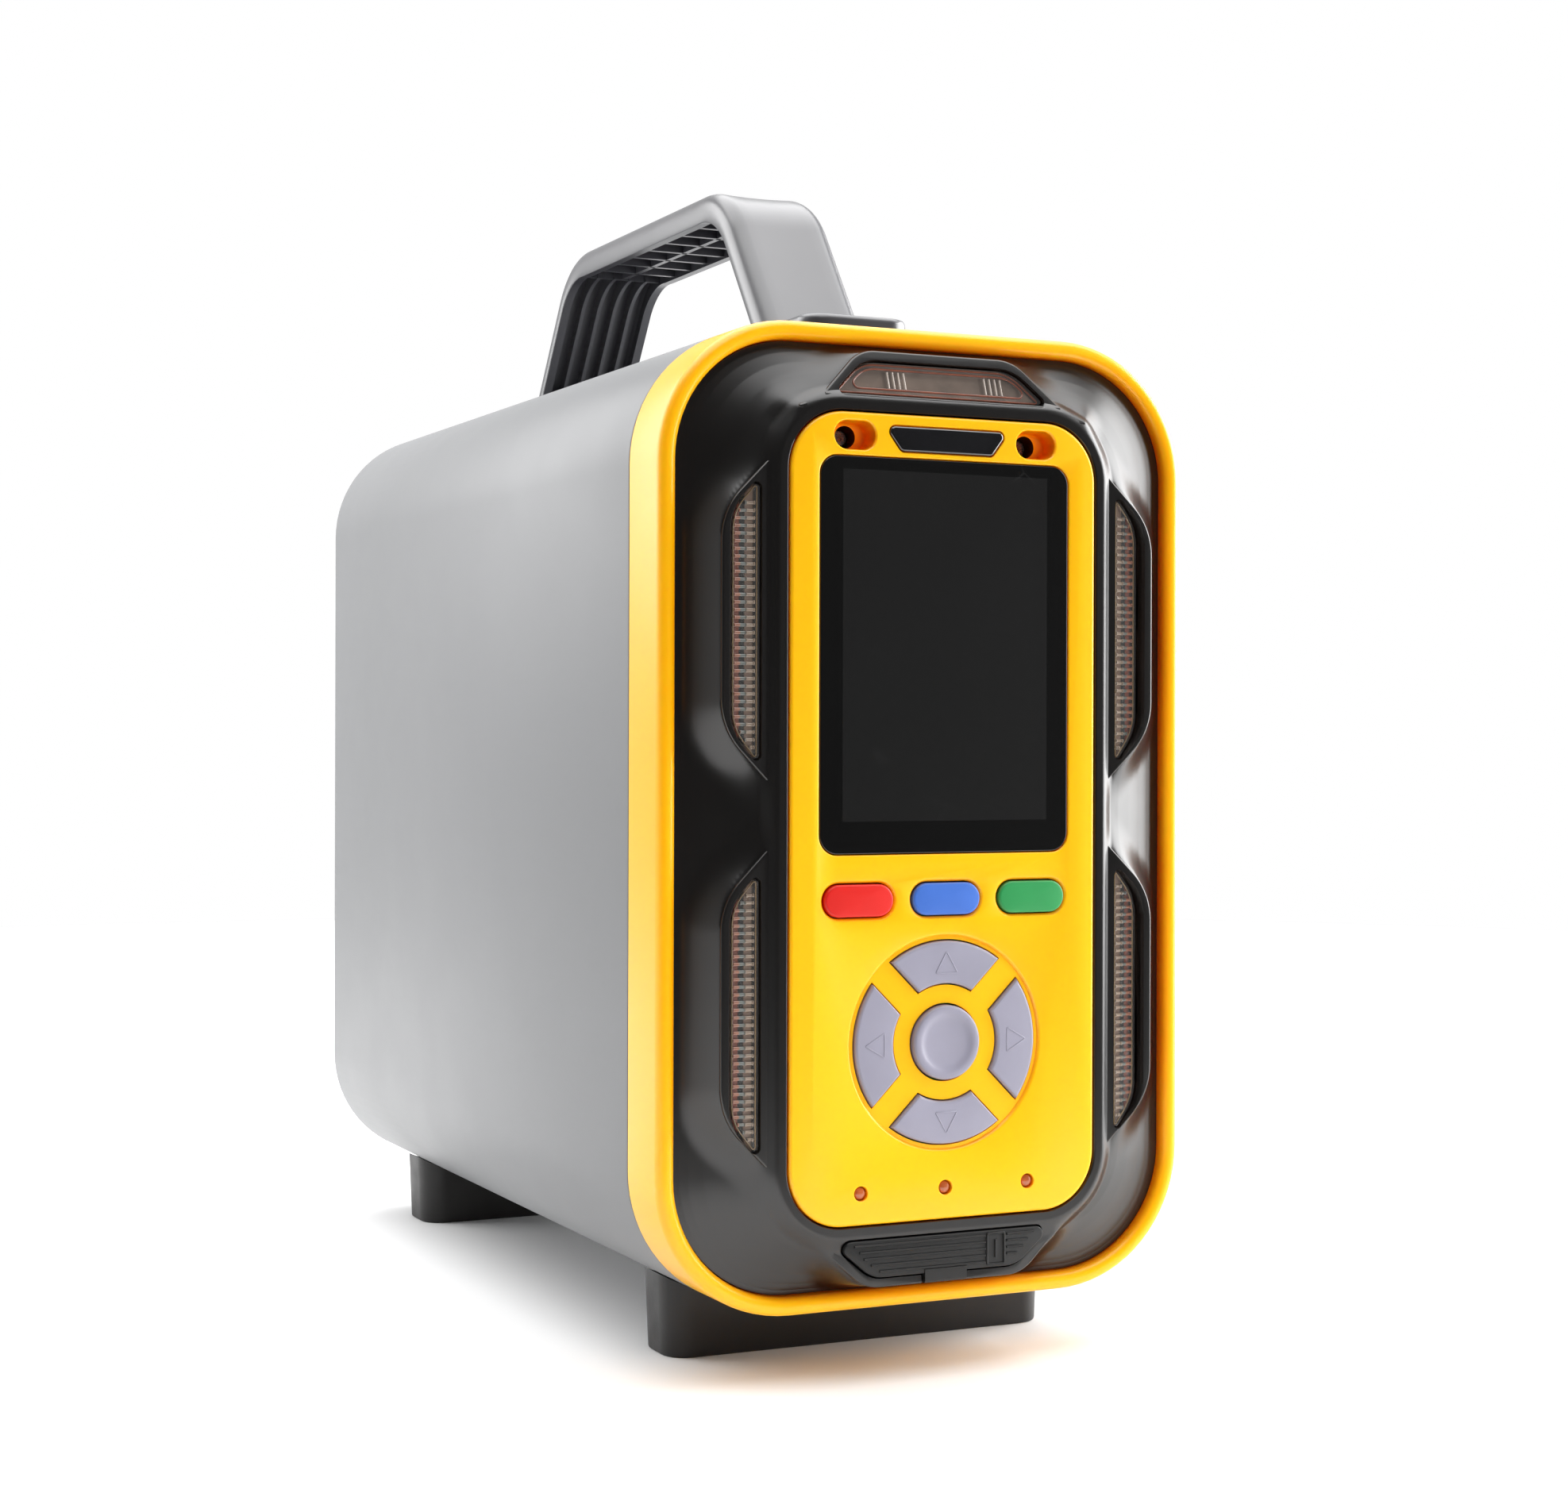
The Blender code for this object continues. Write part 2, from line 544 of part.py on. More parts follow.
def build_fascia():
    back = FASCIA_DEPTH + FASCIA_THICKNESS
    loops = [fascia_section(0, back), fascia_section(0, FASCIA_DEPTH + 0.9), fascia_section(-0.3, FASCIA_DEPTH + 0.3),
             fascia_section(-0.9, FASCIA_DEPTH)]
    fascia = skin("fascia", loops, "yellow_plastic")
    window = rounded_box(GLASS_HALF_WIDTH + GAP, GLASS_BOTTOM - GAP, GLASS_TOP + GAP, GLASS_RADIUS + GAP, 4)
    cut(fascia, plate("window_cut", window, -12, 0, "steel"))
    for name, finish, x in (("power", "key_red", -SOFT_KEY_PITCH), ("pump", "key_blue", 0.0),
                            ("menu", "key_green", SOFT_KEY_PITCH)):
        soft_key(fascia, name, finish, x)
    for name, turn in (("right", 0), ("up", 90), ("left", 180), ("down", 270)):
        pad_key(fascia, name, turn)
    enter_key(fascia)
    for name, x in (("left", -LAMP_PITCH), ("middle", 0.0), ("right", LAMP_PITCH)):
        drill(fascia, at(x, 0, LAMP_Z), LAMP_RADIUS + GAP, -12, 0, steps=14)
        lamp = [(LAMP_RADIUS, -1.6), (LAMP_RADIUS, -5.9), (LAMP_RADIUS * 0.6, -6.3)]
        turned(f"status_lamp_{name}", lamp, at(x, 0, LAMP_Z), "amber", steps=14)
    for name, side in (("left", -1), ("right", 1)):
        x = side * SCREW_X
        join(fascia, plate(f"well_boss_{name}", shrunk(screw_well(x), -WELL_WALL), back - 0.5, WELL_END,
                           "yellow_plastic"))
        cut(fascia, plate(f"well_{name}", screw_well(x), -12, WELL_FLOOR, "steel"))
        drill(fascia, at(x, 0, SCREW_Z), SCREW_HOLE_RADIUS, -12, WELL_END - 1.2)
        drill(fascia, at(x, 0, SCREW_Z), 1.5, -12, 8.0)
        pan_screw(f"fascia_screw_{name}", at(x, WELL_END - 1.2 - GAP, SCREW_Z), "Y", -1, 2.0, 1.2, 6.0)
    badge = filleted([(-15.0, 200.8), (15.0, 200.8), (10.9, 195.4), (-10.9, 195.4)], 0.9, 3)
    cut(fascia, plate("badge_recess", shrunk(badge, -GAP), -12, FASCIA_DEPTH + 0.8, "steel"))
    plate("badge_plate", badge, FASCIA_DEPTH - 0.3, FASCIA_DEPTH + 0.5, "black_plastic", edge=0.4)


def soft_key(fascia, name, finish, x):
    """A long key with round ends in its own slot."""
    half_width, half_height = SOFT_KEY_HALF
    outline = arc((x + half_width - half_height, SOFT_KEY_Z), half_height, -90, 90, 8)
    outline += arc((x - half_width + half_height, SOFT_KEY_Z), half_height, 90, 270, 8)
    cut(fascia, plate(f"slot_{name}", shrunk(outline, -GAP - 0.1), -12, 0, "steel"))
    plate(f"key_{name}", outline, FASCIA_DEPTH - 0.6, KEY_BACK, finish, 0.7, at(x, FASCIA_DEPTH, SOFT_KEY_Z))


def pad_key(fascia, name, turn):
    """One of four arc-shaped keys of the direction pad, between its diagonal bars."""
    outline = pad_sector(PAD_INNER, PAD_OUTER, PAD_BAR / 2 + GAP + 0.2, turn)
    cut(fascia, plate(f"slot_{name}", pad_sector(PAD_INNER - 0.4, PAD_OUTER + 0.5, PAD_BAR / 2, turn), -12, 0,
                      "steel"))
    middle = math.radians(turn)
    radius = (PAD_INNER + PAD_OUTER) / 2
    origin = at(radius * math.cos(middle), FASCIA_DEPTH, PAD_Z + radius * math.sin(middle))
    plate(f"key_{name}", outline, FASCIA_DEPTH - 0.3, KEY_BACK, "key_grey", 0.5, origin)


def pad_sector(inner, outer, bar_half, turn):
    """A quarter of a ring, with its straight ends held bar_half from the diagonals."""
    ends = [45 - math.degrees(math.asin(bar_half / radius)) for radius in (inner, outer)]
    centre = (0, PAD_Z)
    return (arc(centre, outer, turn - ends[1], turn + ends[1], 8)
            + arc(centre, inner, turn + ends[0], turn - ends[0], 5))


def enter_key(fascia):
    drill(fascia, at(0, 0, PAD_Z), ENTER_RADIUS + GAP + 0.1, -12, 0, steps=28)
    face = FASCIA_DEPTH - 0.8
    profile = [(ENTER_RADIUS, KEY_BACK), (ENTER_RADIUS, face + 0.7), (ENTER_RADIUS - 0.3, face + 0.2),
               (ENTER_RADIUS - 0.9, face), (ENTER_RADIUS * 0.8, face), (ENTER_RADIUS * 0.72, face + 0.3),
               (ENTER_RADIUS * 0.3, face + 0.7)]
    turned("key_enter", profile, at(0, 0, PAD_Z), "key_grey", steps=28, origin=at(0, FASCIA_DEPTH, PAD_Z))


def build_display():
    face = FASCIA_DEPTH + 0.2
    glass = rounded_box(GLASS_HALF_WIDTH, GLASS_BOTTOM, GLASS_TOP, GLASS_RADIUS, 4)
    plate("display_glass", glass, face, face + 1.5, "glass", edge=0.2)
    block("display_module", (-27.8, 27.8), (face + 1.5 + GAP, -0.6), (113.0, 192.5), "steel")


# Handle and feet


def handle_path():
    """Stations along the outside of the front half of the handle, from its foot to the middle of the bar:
    (distance from the middle, height, inward direction)."""
    foot = Vector(LEG_FOOT)
    corner = Vector((BAR_END + BEND_RADIUS * math.tan(math.radians(28.5)), HANDLE_TOP))
    leg = (corner - foot).normalized()
    inward_leg = Vector((-leg.y, leg.x))
    if inward_leg.x > 0:
        inward_leg = -inward_leg
    centre = Vector((BAR_END, HANDLE_TOP - BEND_RADIUS))
    stations = [(foot.x, foot.y, inward_leg, LEG_DEPTH)]
    start = math.degrees(math.atan2(-inward_leg.y, -inward_leg.x))
    for k in range(6):
        angle = math.radians(start + (90 - start) * k / 5)
        spoke = Vector((math.cos(angle), math.sin(angle)))
        depth = LEG_DEPTH + (GRIP_DEPTH - LEG_DEPTH) * k / 5
        stations.append((*(centre + spoke * BEND_RADIUS), -spoke, depth))
    return stations


def grip_section(station, side):
    """The channel's section at a station: rounded on the outside, open towards the hand."""
    along, height, inward, depth = station
    half, wall, edge = GRIP_HALF_WIDTH, GRIP_WALL, GRIP_EDGE
    right = [(half, depth), (half, edge)] + [(half - edge + edge * math.cos(a), edge - edge * math.sin(a))
                                             for a in (math.radians(30), math.radians(60))] + [(half - edge, 0)]
    outside = right + [(-x, n) for x, n in reversed(right)]
    inside = [(-half + wall, depth), (-half + wall, wall), (half - wall, wall), (half - wall, depth)]
    points = []
    for x, n in outside + inside:
        y = along + inward.x * n
        points.append(at(x, HANDLE_MID + side * y, height + inward.y * n))
    return points


def build_handle():
    half = handle_path()
    loops = [grip_section(s, -1) for s in half] + [grip_section(s, 1) for s in reversed(half)]
    handle = skin("handle", loops, "dark_grip")
    rib_span = (1.4 - GRIP_HALF_WIDTH, GRIP_HALF_WIDTH - 1.4)
    for index in range(-4, 5):
        rib = (HANDLE_MID + index * 11.0 - 0.7, HANDLE_MID + index * 11.0 + 0.7)
        join(handle, block(f"rib_{index}", rib_span, rib, (HANDLE_TOP - 6.6, HANDLE_TOP - 1.5), "dark_grip"))
    spine = (HANDLE_MID - BAR_END - 3, HANDLE_MID + BAR_END + 3)
    join(handle, block("rib_spine", (-0.7, 0.7), spine, (HANDLE_TOP - 6.6, HANDLE_TOP - 1.5), "dark_grip"))
    for name, end in (("front", -1), ("rear", 1)):
        outline = filleted([(end * PAD_FOOT_INNER, -PAD_FOOT_HALF), (end * PAD_FOOT_END, -PAD_FOOT_HALF),
                            (end * PAD_FOOT_END, PAD_FOOT_HALF), (end * PAD_FOOT_INNER, PAD_FOOT_HALF)], 6.0)
        top = PAD_FOOT_TOP
        steps = [(0, CASE_TOP + GAP), (0, top - 1.2), (0.35, top - 0.35), (1.2, top)]
        loops = [[at(x, HANDLE_MID + y, z) for y, x in shrunk(outline, inset)] for inset, z in steps]
        join(handle, skin(f"pad_{name}", loops, "dark_grip"))
        screw_depth = HANDLE_MID + end * HANDLE_SCREW
        well = [(-9.5, screw_depth - 6), (9.5, screw_depth - 6), (9.5, screw_depth + 6), (-9.5, screw_depth + 6)]
        loops = [[at(x, y, z) for x, y in filleted(well, 4.0)] for z in (HANDLE_WELL_Z, 240.0)]
        cut(handle, skin(f"well_{name}", loops, "steel"))
        drill(handle, at(0, screw_depth, 0), 2.9, 215.0, 240.0, "Z", 12)
        pan_screw(f"handle_screw_{name}", at(0, screw_depth, HANDLE_WELL_Z + GAP), "Z", 1, 4.4, 2.4, 14.0)


def build_feet():
    for name, (front, back) in (("front", FRONT_FOOT), ("rear", REAR_FOOT)):
        outline = filleted([(-FOOT_HALF_LENGTH, front), (FOOT_HALF_LENGTH, front), (FOOT_HALF_LENGTH, back),
                            (-FOOT_HALF_LENGTH, back)], FOOT_RADIUS)
        steps = [(1.6, 0), (1.1, 0.6), (0, 26.0)]
        loops = [[at(x, y, z) for x, y in shrunk(outline, inset)] for inset, z in steps]
        foot = skin(f"foot_{name}", loops, "rubber")
        cut(foot, skin(f"case_cut_{name}", [case_section(-GAP, 10), case_section(-GAP, 250)], "steel"))
        for side, x in (("left", -FOOT_SCREW_X), ("right", FOOT_SCREW_X)):
            centre = at(x, (front + back) / 2, 0)
            drill(foot, centre, 4.2, -1, FOOT_WELL_HEIGHT, "Z")
            drill(foot, centre, 1.9, -1, 20.0, "Z", 12)
            pan_screw(f"foot_screw_{name}_{side}", centre + Vector((0, 0, FOOT_WELL_HEIGHT - GAP)), "Z", -1,
                      3.4, 1.6, 14.0)


# Inside


def build_inside():
    block("keypad_board", (-31.0, 31.0), (-1.2, 0.2), (38.0, 107.0), "circuit_board")
    block("main_board", (-44.0, 44.0), (12.0, 13.6), (32.0, 190.0), "circuit_board")
    shelf = block("chassis_shelf", (-57.0, 57.0), (32.0, 232.0), (SHELF_Z, SHELF_TOP), "steel")
    join(shelf, block("shelf_upstand", (-40.0, 40.0), (32.0, 33.5), (SHELF_Z - 20, SHELF_Z + 20), "steel"))
    plate("battery_pack", filleted([(-38, 30), (38, 30), (38, 104), (-38, 104)], 6.0), 62.0, 182.0,
          "battery_wrap")
    build_manifold()
    build_pump()
    build_tubes()


def build_manifold():
    """The sensor block stands on the shelf, with a gas way bored along it and three sensors let into its top."""
    base = SHELF_TOP + GAP
    across = (MANIFOLD_X - 15, MANIFOLD_X + 15)
    manifold = block("sensor_manifold", across, MANIFOLD, (base, base + 22.0), "anodised")
    drill(manifold, at(MANIFOLD_X, 0, base + GAS_WAY_RISE), 2.0, MANIFOLD[0] - 1, MANIFOLD[1] + 1, steps=12)
    for number in (1, 2, 3):
        centre = at(MANIFOLD_X, MANIFOLD[0] - 12 + 26.0 * number, base)
        drill(manifold, centre, 10.4, 8.0, 23.0, "Z", 16)
        drill(manifold, centre, 1.5, GAS_WAY_RISE, 9.0, "Z", 10)
        can = [(10.0, 8.3), (10.0, 24.0), (9.2, 24.8)]
        turned(f"gas_sensor_{number}", can, centre, "steel", "Z", 16)


def build_pump():
    """A diaphragm pump: a motor, the eccentric that it spins and the pump head in front of it."""
    axle = at(PUMP_X, PUMP_Y, PUMP_Z)
    motor = [(2.6, -1.0), (12.0, 0), (12.0, 30.0), (11.0, 31.0)]
    motor = turned("pump_motor", motor, axle, "steel", "Y", 20)
    drill(motor, axle, 1.5, -2.0, 12.0, steps=10)
    rotor = [(1.2, 10.0), (1.2, -2.0), (1.2, -9.0)]
    rotor = turned("pump_rotor", rotor, axle, "steel", "Y", 10, origin=axle)
    crank = turned("crank", [(5.0, -3.0), (5.0, -8.0)], axle + Vector((1.8, 0, 0)), "steel", "Y", 16)
    join(rotor, crank)
    head = block("pump_head", (PUMP_X - 15, PUMP_X + 15), PUMP_HEAD, (SHELF_TOP + GAP, 165.0), "black_plastic")
    room = (PUMP_HEAD[1] - 9, PUMP_HEAD[1] + 1)
    cut(head, block("crank_room", (PUMP_X - 8.5, PUMP_X + 8.5), room, (PUMP_Z - 8, PUMP_Z + 8.5), "steel"))
    for x in PUMP_PORTS_X:
        drill(head, at(x, 0, PUMP_PORTS_Z), 1.5, PUMP_HEAD[0] - 8, PUMP_HEAD[0] + 16, steps=12)


def tube(name, points):
    """A soft sampling tube along a smooth curve through its points."""
    curve = bpy.data.curves.new(name, "CURVE")
    curve.dimensions = "3D"
    curve.bevel_depth = 2.0 * MM
    curve.bevel_resolution = 2
    curve.use_fill_caps = True
    route = smooth(points, 3)
    spline = curve.splines.new("POLY")
    spline.points.add(len(route) - 1)
    for point, place in zip(spline.points, route):
        point.co = (*(place * MM), 1.0)
    curve.materials.append(material("rubber"))
    obj = bpy.data.objects.new(name, curve)
    bpy.context.scene.collection.objects.link(obj)
    return obj


def smooth(points, steps):
    """A Catmull-Rom curve through the points."""
    ends = [points[0] * 2 - points[1]] + points + [points[-1] * 2 - points[-2]]
    route = []
    for a, b, c, d in zip(ends, ends[1:], ends[2:], ends[3:]):
        for k in range(steps):
            t = k / steps
            route.append(0.5 * (2 * b + (c - a) * t + (2 * a - 5 * b + 4 * c - d) * t ** 2
                                + (3 * b - a - 3 * c + d) * t ** 3))
    return route + [points[-1]]


def build_tubes():
    """Inlet to sensor block, sensor block to pump, and pump to outlet, each stopping just short of its fittings."""
    way = SHELF_TOP + GAP + GAS_WAY_RISE
    fitting = 220.6
    block_front, block_rear, pump = MANIFOLD[0] - 0.4, MANIFOLD[1] + 0.4, PUMP_HEAD[0] - 0.4
    suction, delivery = PUMP_PORTS_X
    tube("sample_tube_in", [at(-HOSE_X, fitting, HOSE_Z), at(-HOSE_X, 206.0, HOSE_Z), at(-25.0, 190.0, 160.0),
                            at(-26.0, 172.0, 140.0), at(MANIFOLD_X, 158.0, way + 3),
                            at(MANIFOLD_X, block_rear, way)])
    tube("sample_tube_link", [at(MANIFOLD_X, block_front, way), at(MANIFOLD_X, 50.0, way + 2),
                              at(-18.0, 44.0, 135.0),
                              at(2.0, 46.0, 152.0), at(14.0, 70.0, PUMP_PORTS_Z),
                              at(suction, 100.0, PUMP_PORTS_Z),
                              at(suction, pump, PUMP_PORTS_Z)])
    tube("sample_tube_out", [at(delivery, pump, PUMP_PORTS_Z), at(delivery, 104.0, PUMP_PORTS_Z),
                             at(38.0, 92.0, 164.0),
                             at(46.0, 100.0, 174.0), at(48.0, 130.0, 178.0), at(40.0, 180.0, 175.0),
                             at(HOSE_X, 206.0, HOSE_Z), at(HOSE_X, fitting, HOSE_Z)])


def main():
    clear_scene()
    build_case()
    build_rear()
    build_bezel()
    build_fascia()
    build_display()
    build_handle()
    build_feet()
    build_inside()


main()
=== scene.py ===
"""The looks of a portable gas detector: mouldings, ribbed alarm windows, keys, materials, light and camera.

Dimensions are in millimetres, and piece() turns the points into metres. at() counts depths from the front
plane of the yellow ring, positive towards the rear. A face function gives the depth of a surface at (x, z).
"""

import json
import math

import bmesh
import bpy
import numpy as np
from mathutils import Matrix, Vector


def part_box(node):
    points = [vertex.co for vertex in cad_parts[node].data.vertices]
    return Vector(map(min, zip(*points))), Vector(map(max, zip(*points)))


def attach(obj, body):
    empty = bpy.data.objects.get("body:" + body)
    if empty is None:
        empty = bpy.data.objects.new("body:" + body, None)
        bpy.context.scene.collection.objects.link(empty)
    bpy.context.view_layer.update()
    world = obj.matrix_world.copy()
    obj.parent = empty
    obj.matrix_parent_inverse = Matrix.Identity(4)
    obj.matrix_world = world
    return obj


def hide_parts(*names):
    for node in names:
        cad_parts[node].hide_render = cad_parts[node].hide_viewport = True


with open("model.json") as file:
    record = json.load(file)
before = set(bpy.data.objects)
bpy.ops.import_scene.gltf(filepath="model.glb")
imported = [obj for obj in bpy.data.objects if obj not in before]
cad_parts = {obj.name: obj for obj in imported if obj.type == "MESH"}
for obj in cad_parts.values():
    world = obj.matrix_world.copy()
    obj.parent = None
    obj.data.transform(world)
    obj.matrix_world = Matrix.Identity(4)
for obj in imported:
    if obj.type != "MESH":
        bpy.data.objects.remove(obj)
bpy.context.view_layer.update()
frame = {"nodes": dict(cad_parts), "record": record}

MM = 0.001
RING_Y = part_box("front_ring")[0].y / MM
GAP = 0.3
IN_FRONT = -12.0  # the depth that cutters start from, clear of every face

CASE_HALF = 63.0
CASE_LOW = 14.4
CASE_HIGH = 222.6
CASE_RADIUS = 30.2
CASE_REAR = 244.4
WALL = 2.5
BOSS_X = 49.8
RING_BACK = 16.9
LIP = 4.0

FASCIA_HALF = 36.6
FASCIA_LOW = 33.6
FASCIA_HIGH = 203.3
FASCIA_RADIUS = 12.5
FASCIA_FACE = -6.5
FASCIA_BACK = -4.3
WINDOW = (29.7, 111.1, 194.0, 4.0)  # the display glass: half width, bottom, top, corner radius
SCREEN_HALF, SCREEN_LOW, SCREEN_HIGH = 24.5, 117.9, 191.3
BADGE = [(-15.0, 200.8), (15.0, 200.8), (10.9, 195.4), (-10.9, 195.4)]
BADGE_CORNER = 1.3
SCREW_X, SCREW_Z = 21.7, 198.4
WELL_HALF, WELL_RISE = 4.8, 3.0
WELL_FLOOR = -1.2

KEY_BACK = -2.6
SOFT_KEY_X, SOFT_KEY_Z = 20.7, 101.4
SOFT_KEY_HALF, SOFT_KEY_RISE = 8.05, 3.4
PAD_Z = 71.0
PAD_INNER, PAD_OUTER, PAD_BAR = 12.15, 21.8, 2.85  # a direction key's opening: its radii, half a bar's width
PAD_DISH = 22.6  # radius of the sunk disc round the direction keys
PAD_DISH_FLOOR = FASCIA_FACE + 0.70
ARROW_RADIUS = 16.2
ENTER_HOLE = 8.3
LAMP_X, LAMP_Z = 20.0, 40.3
LAMP_HOLE = 1.55

UPPER_POD = [(37.0, 196.5), (51.7, 181.8), (51.7, 137.0), (37.0, 122.3)]
UPPER_LENS = [(42.8, 188.8), (48.7, 181.8), (48.7, 137.4), (42.8, 129.4)]
LOWER_POD = [(37.0, 116.3), (51.7, 101.6), (51.7, 57.4), (37.0, 42.7)]
LOWER_LENS = [(42.8, 107.6), (48.7, 100.6), (48.7, 56.4), (42.8, 48.8)]
LENS_CORNERS = (0.8, 11.0, 11.0, 0.8)
LENS_TILT = 8  # degrees
TOP_POD = [(-37.0, 203.4), (-29.5, 206.0), (-18.5, 217.0), (18.5, 217.0), (29.5, 206.0), (37.0, 203.4)]
TOP_LENS = [(-25.2, 207.4), (-18.0, 214.4), (18.0, 214.4), (25.2, 207.4)]
TOP_LENS_CORNERS = (0.7, 8.5, 8.5, 0.7)
TOP_SLOPE = 0.33
BOTTOM_POD = [(-38.4, 37.8), (38.4, 37.8), (18.8, 20.3), (-18.8, 20.3)]
POD_STEP = 0.65  # a pod stands this far out of the flare round it
COLLAR_DEPTH = -6.25  # the bezel's flat collar round the fascia
COLLAR_WIDTH, COLLAR_FALL = 2.0, 3.9
SWELL = [(0, 2.6), (0.06, 2.35), (0.14, 1.8), (0.28, 0.6), (0.45, -1.1), (0.62, -2.7), (0.78, -4.0),
         (0.9, -4.7), (1.0, -5.1)]  # (share of the way from the ring to the fascia, depth)

RIB_PITCH = 1.57
RIB_INNER, RIB_OUTER = 43.7, 47.9
TOP_RIBS = (-12.1, -10.8, -9.5, -8.2, 11.3, 12.6, 13.9, 15.2)

FLAP = [(-26.6, 30.4), (26.6, 30.4), (17.3, 22.5), (-17.3, 22.5)]
FLAP_CORNERS = (1.6, 1.6, 7.0, 7.0)
FLAP_AXIS_Z = 21.2
FLAP_FACE = -6.85
FLAP_BACK = -5.25
STRAP_HALF, STRAP_TOP = 5.0, 23.4

HANDLE_MID = 136.3
HANDLE_TOP = 268.4
LEG_FOOT = (80.5, 229.0)  # distance from the handle's middle, height
BAR_END = 39.6
BEND_RADIUS = 25.0
HALF_BEND = 28.5  # degrees, half the turn from the bar into a leg
GRIP_HALF = 13.3
GRIP_WALL = 2.4
GRIP_EDGE = 4.2
HANDLE_PAD_SPAN = (69.0, 102.3)
HANDLE_PAD_HALF = 13.5
HANDLE_PAD_SCREW = 93.0
FOOT_SPANS = (("front", (30.6, 50.4)), ("rear", (206.2, 227.0)))
FOOT_HALF = 48
FOOT_SCREW_X = 30

CAMERA_YAW, CAMERA_PITCH, CAMERA_ROLL = (math.radians(a) for a in (25.163, -0.106, 0.157))
CAMERA_PLACE = (-0.2672878, -0.4945124, 0.1349378)  # in metres, from the middle of the ring's front plane
CAMERA_LENS = 60.296


def grown(half, low, high, radius, amount):
    """The half width, bottom, top and corner radius of a rounded rectangle grown by amount."""
    return half + amount, low - amount, high + amount, radius + amount


CASE = (CASE_HALF, CASE_LOW, CASE_HIGH, CASE_RADIUS)
FASCIA = (FASCIA_HALF, FASCIA_LOW, FASCIA_HIGH, FASCIA_RADIUS)
BEZEL = (CASE_HALF - LIP - GAP, CASE_LOW + LIP + GAP, CASE_HIGH - LIP - GAP, CASE_RADIUS - LIP - GAP)
FASCIA_HOLE = grown(*FASCIA, GAP)


# Shapes


def at(x, depth, z):
    return Vector((x, RING_Y + depth, z))


def arc(centre, radius, start, end, steps):
    angles = np.radians(np.linspace(start, end, steps + 1))
    return [(centre[0] + radius * math.cos(a), centre[1] + radius * math.sin(a)) for a in angles]


def rounded_box(half, low, high, radius, steps=16, along=1):
    """A rounded rectangle about x = 0, with its straight runs split into this many lengths."""
    x, bottom, top = half - radius, low + radius, high - radius
    corners = [(x, bottom, -90), (x, top, 0), (-x, top, 90), (-x, bottom, 180)]
    outline = []
    for cx, cz, turn in corners:
        outline += arc((cx, cz), radius, turn, turn + 90, steps)
    split = []
    for i, point in enumerate(outline):
        split.append(point)
        if (i + 1) % (steps + 1) == 0:
            after = outline[(i + 1) % len(outline)]
            runs = along if point[0] * after[0] > 0 else max(1, along // 2)
            split += [tuple(np.add(point, np.subtract(after, point) * k / runs)) for k in range(1, runs)]
    return split


def filleted(points, radii, steps=6):
    """A polygon with its corners rounded, by one radius or by one for each corner."""
    outline = []
    for i, point in enumerate(points):
        radius = radii[i] if isinstance(radii, (list, tuple)) else radii
        here = Vector(point)
        before = (Vector(points[i - 1]) - here).normalized()
        after = (Vector(points[(i + 1) % len(points)]) - here).normalized()
        half_angle = before.angle(after) / 2
        reach = radius / math.tan(half_angle)
        centre = here + (before + after).normalized() * radius / math.sin(half_angle)
        start = here + before * reach - centre
        end = here + after * reach - centre
        first = math.atan2(start.y, start.x)
        turn = math.copysign(math.pi - 2 * half_angle, start.cross(end))
        for k in range(steps + 1):
            angle = first + turn * k / steps
            outline.append((centre.x + radius * math.cos(angle), centre.y + radius * math.sin(angle)))
    return outline


def shrunk(outline, amount):
    """An outline moved inwards along its mitres, or outwards if amount is negative."""
    area = sum(a[0] * b[1] - b[0] * a[1] for a, b in zip(outline, outline[1:] + outline[:1]))
    inward = 1 if area > 0 else -1
    moved = []
    for i, (x, z) in enumerate(outline):
        before = Vector((x, z)) - Vector(outline[i - 1])
        after = Vector(outline[(i + 1) % len(outline)]) - Vector((x, z))
        along = (before.normalized() + after.normalized()).normalized()
        moved.append((x - along.y * amount * inward, z + along.x * amount * inward))
    return moved


def piece(name, verts, faces, finish, sharp=35.0):
    """A smooth-shaded object from points in millimetres."""
    mesh = bpy.data.meshes.new(name)
    mesh.from_pydata([tuple(c * MM for c in v) for v in verts], [], faces)
    shape = bmesh.new()
    shape.from_mesh(mesh)
    bmesh.ops.recalc_face_normals(shape, faces=shape.faces)
    shape.to_mesh(mesh)
    shape.free()
    mesh.shade_smooth()
    mesh.set_sharp_from_angle(angle=math.radians(sharp))
    mesh.materials.append(finish)
    obj = bpy.data.objects.new(name, mesh)
    bpy.context.scene.collection.objects.link(obj)
    return obj


def skin(name, loops, finish, closed=False, sharp=35.0, capped=True):
    """An object skinned over loops of points."""
    n = len(loops[0])
    verts = [p for loop in loops for p in loop]
    pairs = [(i, i + 1) for i in range(len(loops) - 1)] + ([(len(loops) - 1, 0)] if closed else [])
    faces = [(a * n + i, a * n + (i + 1) % n, b * n + (i + 1) % n, b * n + i)
             for a, b in pairs for i in range(n)]
    if capped and not closed:
        faces += [tuple(range(n)), tuple(range((len(loops) - 1) * n, len(loops) * n))]
    return piece(name, verts, faces, finish, sharp)


def plate(name, outline, front, back, finish, edge=0.0, steps=3, sharp=35.0):
    """An outline in XZ given thickness along Y, with its front rim rounded. front may be a face function."""
    face = front if callable(front) else lambda x, z: front
    loops = [[at(x, back, z) for x, z in outline]]
    if edge:
        for k in range(steps + 1):
            angle = math.pi / 2 * k / steps
            rim = shrunk(outline, edge * (1 - math.cos(angle)))
            loops.append([at(x, face(x, z) + edge * (1 - math.sin(angle)), z) for x, z in rim])
    else:
        loops.append([at(x, face(x, z), z) for x, z in outline])
    return skin(name, loops, finish, sharp=sharp)


